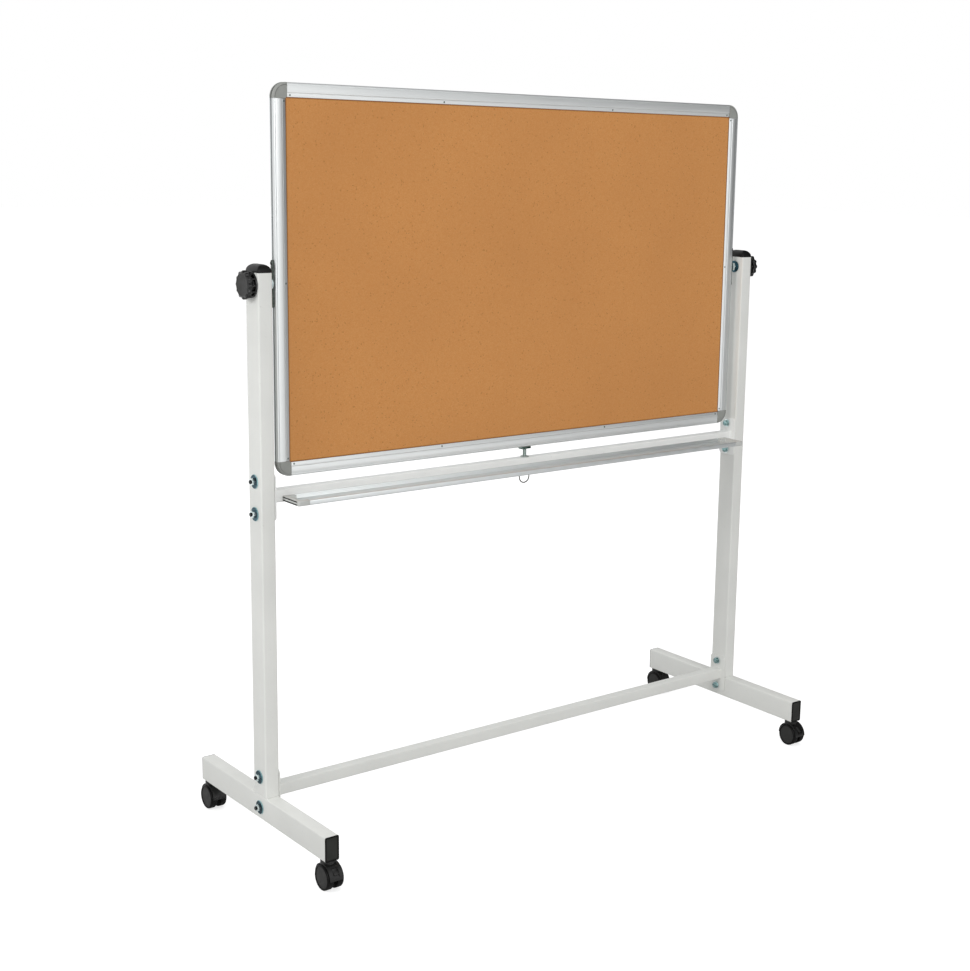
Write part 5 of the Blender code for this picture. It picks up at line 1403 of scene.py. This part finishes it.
@dataclass
class Casters:
    """Four twin-wheel casters; the front ones have a brake lever."""

    stem_y: float = 238
    trail: float = 4
    wheel_radius: float = 25
    hood_radius: float = 28.5
    half_width: float = 14.6
    axle_half: float = 15.6
    half_web: float = 3.5
    lever_angle: float = 48.0
    lever_reach: float = 27.25
    press_angle: float = 10.0
    disc_radius: float = 20.6

    @property
    def axle_centre(self) -> Triple:
        """The middle of the wheels' axle in a caster that stands at the origin."""
        return (0, -self.trail, self.wheel_radius)

    def build(self) -> None:
        """Builds the patterns and copies them to the four corners."""
        wheel, lever = self.wheel(), self.lever()
        hoods = {"rear": self.hood(braked=False), "front": self.hood(braked=True)}
        for end, way in ENDS.items():
            for side, sign in SIDES.items():
                spot, name = shift(sign * POST_X, MIDDLE_Y + way * self.stem_y), f"{end}_{side}"
                hoods[end].twin(f"{name}_caster_hood", spot).hand_over(BLACK_PLASTIC, f"{name}_hood")
                for wheel_side, wheel_sign in SIDES.items():
                    place = spot @ shift(*self.axle_centre) @ turn(Y, 90 * wheel_sign)
                    copy = wheel.twin(f"{name}_{wheel_side}_caster_wheel", place)
                    copy.hand_over(TYRE, f"{name}_{wheel_side}_wheel")
                if end == "front":
                    lever.twin(f"{name}_brake_tab", spot).hand_over(BLACK_PLASTIC, f"{name}_brake_lever")
        for pattern in (wheel, lever, *hoods.values()):
            pattern.discard()

    def wheel(self) -> Workpiece:
        """Makes a wheel along z, its outer face up; z = 0 is the middle of the caster."""
        rings = [
            (4.3, 4.1), (23.4, 4.1), (24.6, 4.6), (25.0, 5.6), (25.0, 10.4), (24.75, 10.7), (24.75, 11.3),
            (25.0, 11.6), (25.0, 14.9), (24.8, 16.2), (24.2, 17.3), (23.2, 18.0), (22.0, 18.1), (21.3, 17.9),
            (20.9, 17.2), (20.7, 16.8), (14.0, 17.0), (4.0, 17.1),
        ]
        wheel = Workpiece.turned("wheel", rings, 96)
        # The flat disc takes the lighter copy and the rest the darkest one: painted light and shade.
        wheel.paint(LIT_WHEEL_DISC, inside(self.disc_radius), between(Z, 16))
        return wheel

    def hood(self, braked: bool) -> Workpiece:
        """Makes a hood with web, axle, collar and stem.

        Args:
            braked: Whether it has the notch for a brake lever.

        Returns:
            The hood of a caster that stands at the origin.
        """
        centre = self.axle_centre
        hood = Workpiece.rod("hood", X, centre, self.hood_radius, 2 * self.half_width, 120)
        hood.bisect(Z, self.wheel_radius, use_fill=True, clear_inner=True)
        rings = [(14.4, 40.0), (15.0, 44.0), (15.0, 56.6), (14.2, 57.7), (5.0, 57.7), (5.0, 76.9), (4.2, 77.7)]
        hood.carve(Workpiece.turned("collar", rings, 56), Carving.WELD)
        for sign in (-1, 1):
            middle = (sign * (self.half_web + 10), *centre[1:])
            hood.carve(Workpiece.rod("room", X, middle, self.wheel_radius + 1, 20, 120))
        hood.carve(Workpiece.rod("boss", X, centre, 12, 2 * self.half_web, 56), Carving.WELD)
        if braked:
            hood.carve(self.lever_room())
        hood.soften(0.5, 2, 38)
        return hood.absorb(Workpiece.rod("axle", X, centre, 4, 2 * self.axle_half, 32))

    def lever_place(self) -> Matrix:
        """Gives where the lever's own axis lies and how it points, along the hood and down."""
        angle, reach = math.radians(self.lever_angle), self.lever_reach
        place = shift(0, -self.trail - reach * math.cos(angle), self.wheel_radius + reach * math.sin(angle))
        return place @ turn(X, 90 - self.lever_angle)

    def lever_room(self) -> Workpiece:
        """Makes the tool for the lever's notch, with room for the lever at rest and pressed."""
        half = 6.4
        room = Workpiece.rod("barrel", X, (0, 0, 0), 2.0, 2 * half, 32)
        for angle in (0, self.press_angle):
            flat = Workpiece.block("flat", (-half, -18.5, -1.45), (half, 0, 6))
            room.carve(flat.place(turn(X, angle)), Carving.WELD)
        return room.place(self.lever_place())

    def lever(self) -> Workpiece:
        """Makes the brake lever: a barrel and a tab."""
        lever = Workpiece.rod("lever", X, (0, 0, 0), 1.6, 12, 32)
        tab = Workpiece.block("tab", (-6, -12.5, -1), (6, 0, 1))
        tab.round_edges(2, 5, along(Z), between(Y, -math.inf, -6))
        lever.carve(tab, Carving.WELD)
        lever.soften(0.35, 2, 50)
        return lever.place(self.lever_place())


# ---------------------------------------------------------------- studio


@dataclass
class Studio:
    """The plain floor, soft lamps, pale surroundings and the camera, in metres."""

    floor_half: float = 30.0
    floor_drop: float = 0.2 * MM
    floor_grey: Shade = (0.62, 0.62, 0.62, 1)
    floor_glow: float = 0.7
    floor_fall: Triple = (2.6, 1.2, 0.1)
    sky_fall: Triple = (0.6, 0.95, 0.3)
    side_fall: Triple = (0.46, 0.67, 0.0)
    ambient: float = 0.55
    aim: Triple = (0, 0, 0.8)
    eye: Triple = (-2.0737, -2.6864, 1.3834)
    right: Triple = (0.7704, -0.6371, 0.0235)
    down: Triple = (-0.1034, -0.1613, -0.9815)
    focal_pixels: float = 1585.0
    frame_width: int = 970
    lens_shift: tuple[float, float] = (-0.103, -0.027)

    def build(self) -> None:
        """Builds floor, lamps, world and camera."""
        self.build_floor()
        self.build_world()
        self.build_lamp("key", (-0.7, -5.3, 2.9), 2.4, 76)
        self.build_lamp("side", (-3.2, -0.35, 2.2), 1.0, 31, in_gloss=False)
        self.build_lamp("overhead", (0.2, -0.6, 4.2), 2.6, 5, in_gloss=False)
        self.build_lamp("back", (1.7, 4.3, 2.6), 2.4, 46, in_gloss=False)
        self.build_camera()
        bpy.context.scene.view_settings.view_transform = "Standard"

    def build_floor(self) -> None:
        """A wide white floor that keeps the object's shadow."""
        clear_selection()
        bpy.ops.mesh.primitive_plane_add(size=2 * self.floor_half, location=(0, 0, -self.floor_drop))
        floor = bpy.context.object
        floor.name = "floor"
        material = bpy.data.materials.new("studio_floor")
        material.use_nodes = True
        tree = material.node_tree
        shader = tree.nodes["Principled BSDF"]
        connect(tree, shader, {"Base Color": self.floor_grey, "Roughness": 0.9, "Specular IOR Level": 0.1})
        place = add_node(tree, "TexCoord", {}, "Object")
        direction = add_node(tree, "VectorMath", {0: place}, operation="NORMALIZE")
        x = add_node(tree, "SeparateXYZ", {0: direction})
        away = add_node(tree, "VectorMath", {0: place}, "Value", operation="LENGTH")
        strength = seen_strength(tree, self.floor_glow, ((x, self.side_fall), (away, self.floor_fall)))
        glow = add_node(tree, "Emission", {"Strength": strength})
        lit = add_node(tree, "AddShader", {0: shader.outputs[0], 1: glow})
        mixed = add_node(tree, "MixShader", {0: seen_directly(tree), 1: shader.outputs[0], 2: lit})
        connect(tree, tree.nodes["Material Output"], {"Surface": mixed})
        floor.data.materials.append(material)

    def build_world(self) -> None:
        """White where it is seen, directly or in metal, and plain soft light elsewhere."""
        world = bpy.data.worlds.new("studio")
        world.use_nodes = True
        bpy.context.scene.world = world
        tree = world.node_tree
        soft = tree.nodes["Background"]
        connect(tree, soft, {"Color": (1, 1, 1, 1), "Strength": self.ambient})
        direction = add_node(tree, "TexCoord", {}, "Generated")
        parts = add_node(tree, "SeparateXYZ", {0: direction}).node.outputs
        strength = seen_strength(tree, 1.0, ((parts["X"], self.side_fall), (parts["Z"], self.sky_fall)))
        white = add_node(tree, "Background", {"Color": (1, 1, 1, 1), "Strength": strength})
        mixed = add_node(tree, "MixShader", {0: seen_directly(tree), 1: soft.outputs[0], 2: white})
        connect(tree, tree.nodes["World Output"], {"Surface": mixed})

    def build_lamp(self, name: str, place: Triple, size: float, watts: float, in_gloss: bool = True) -> None:
        """A square soft box that looks at the middle of the object.

        Args:
            name: The lamp's name.
            place: Where it hangs.
            size: The length of its sides.
            watts: Its power.
            in_gloss: Whether glossy surfaces show it.
        """
        clear_selection()
        angles = (Vector(self.aim) - Vector(place)).to_track_quat("-Z", "Y").to_euler()
        bpy.ops.object.light_add(type="AREA", location=place, rotation=angles)
        lamp = bpy.context.object
        lamp.name, lamp.visible_glossy = name, in_gloss
        lamp.data.size, lamp.data.energy = size, watts

    def build_camera(self) -> None:
        """The camera at the photograph's place and angle."""
        clear_selection()
        bpy.ops.object.camera_add()
        camera = bpy.context.object
        right, up = Vector(self.right).normalized(), -Vector(self.down).normalized()
        back = right.cross(up).normalized()
        up = back.cross(right)
        camera.matrix_world = Matrix.Translation(self.eye) @ Matrix((right, up, back)).transposed().to_4x4()
        camera.data.sensor_fit = "HORIZONTAL"
        camera.data.lens = self.focal_pixels / self.frame_width * camera.data.sensor_width
        camera.data.shift_x, camera.data.shift_y = self.lens_shift
        camera.data.clip_end = 100
        bpy.context.scene.camera = camera


def seen_strength(tree: Tree, bright: float, falls: Sequence[tuple[Socket, Triple]]) -> Socket:
    """Gives the plain strength to the camera, and to reflections one that falls off on some sides.

    Args:
        tree: The shader's tree.
        bright: The strength for the camera.
        falls: For each fall a measure, and where along it the light begins to fall, where it has fallen,
            and the share that is left.

    Returns:
        The strength.
    """
    strength = bright
    for measure, (start, end, left) in falls:
        inputs = {"Value": measure, "From Min": start, "From Max": end, "To Min": 1.0, "To Max": left}
        fall = add_node(tree, "MapRange", inputs, interpolation_type="SMOOTHSTEP")
        strength = add_node(tree, "Math", {0: strength, 1: fall}, operation="MULTIPLY")
    camera_ray = add_node(tree, "LightPath", {}, "Is Camera Ray")
    return add_node(tree, "Mix", {0: camera_ray, 2: strength, 3: bright})


def seen_directly(tree: Tree) -> Socket:
    """Gives 1 for rays from the camera, from gloss and through glass, else 0."""
    rays = add_node(tree, "LightPath", {}).node.outputs
    seen = rays["Is Camera Ray"]
    for name in ("Is Glossy Ray", "Is Transmission Ray"):
        seen = add_node(tree, "Math", {0: seen, 1: rays[name]}, operation="MAXIMUM")
    return seen


def main() -> None:
    """Builds every sub-assembly and the studio."""
    logging.basicConfig(level=logging.INFO, format="%(name)s: %(message)s")
    for assembly in (Stand(), PenTray(), Latch(), Board(), Knobs(), Casters(), Studio()):
        LOG.info("building %s", type(assembly).__name__)
        assembly.build()
    clear_selection()


if __name__ == "__main__":
    main()
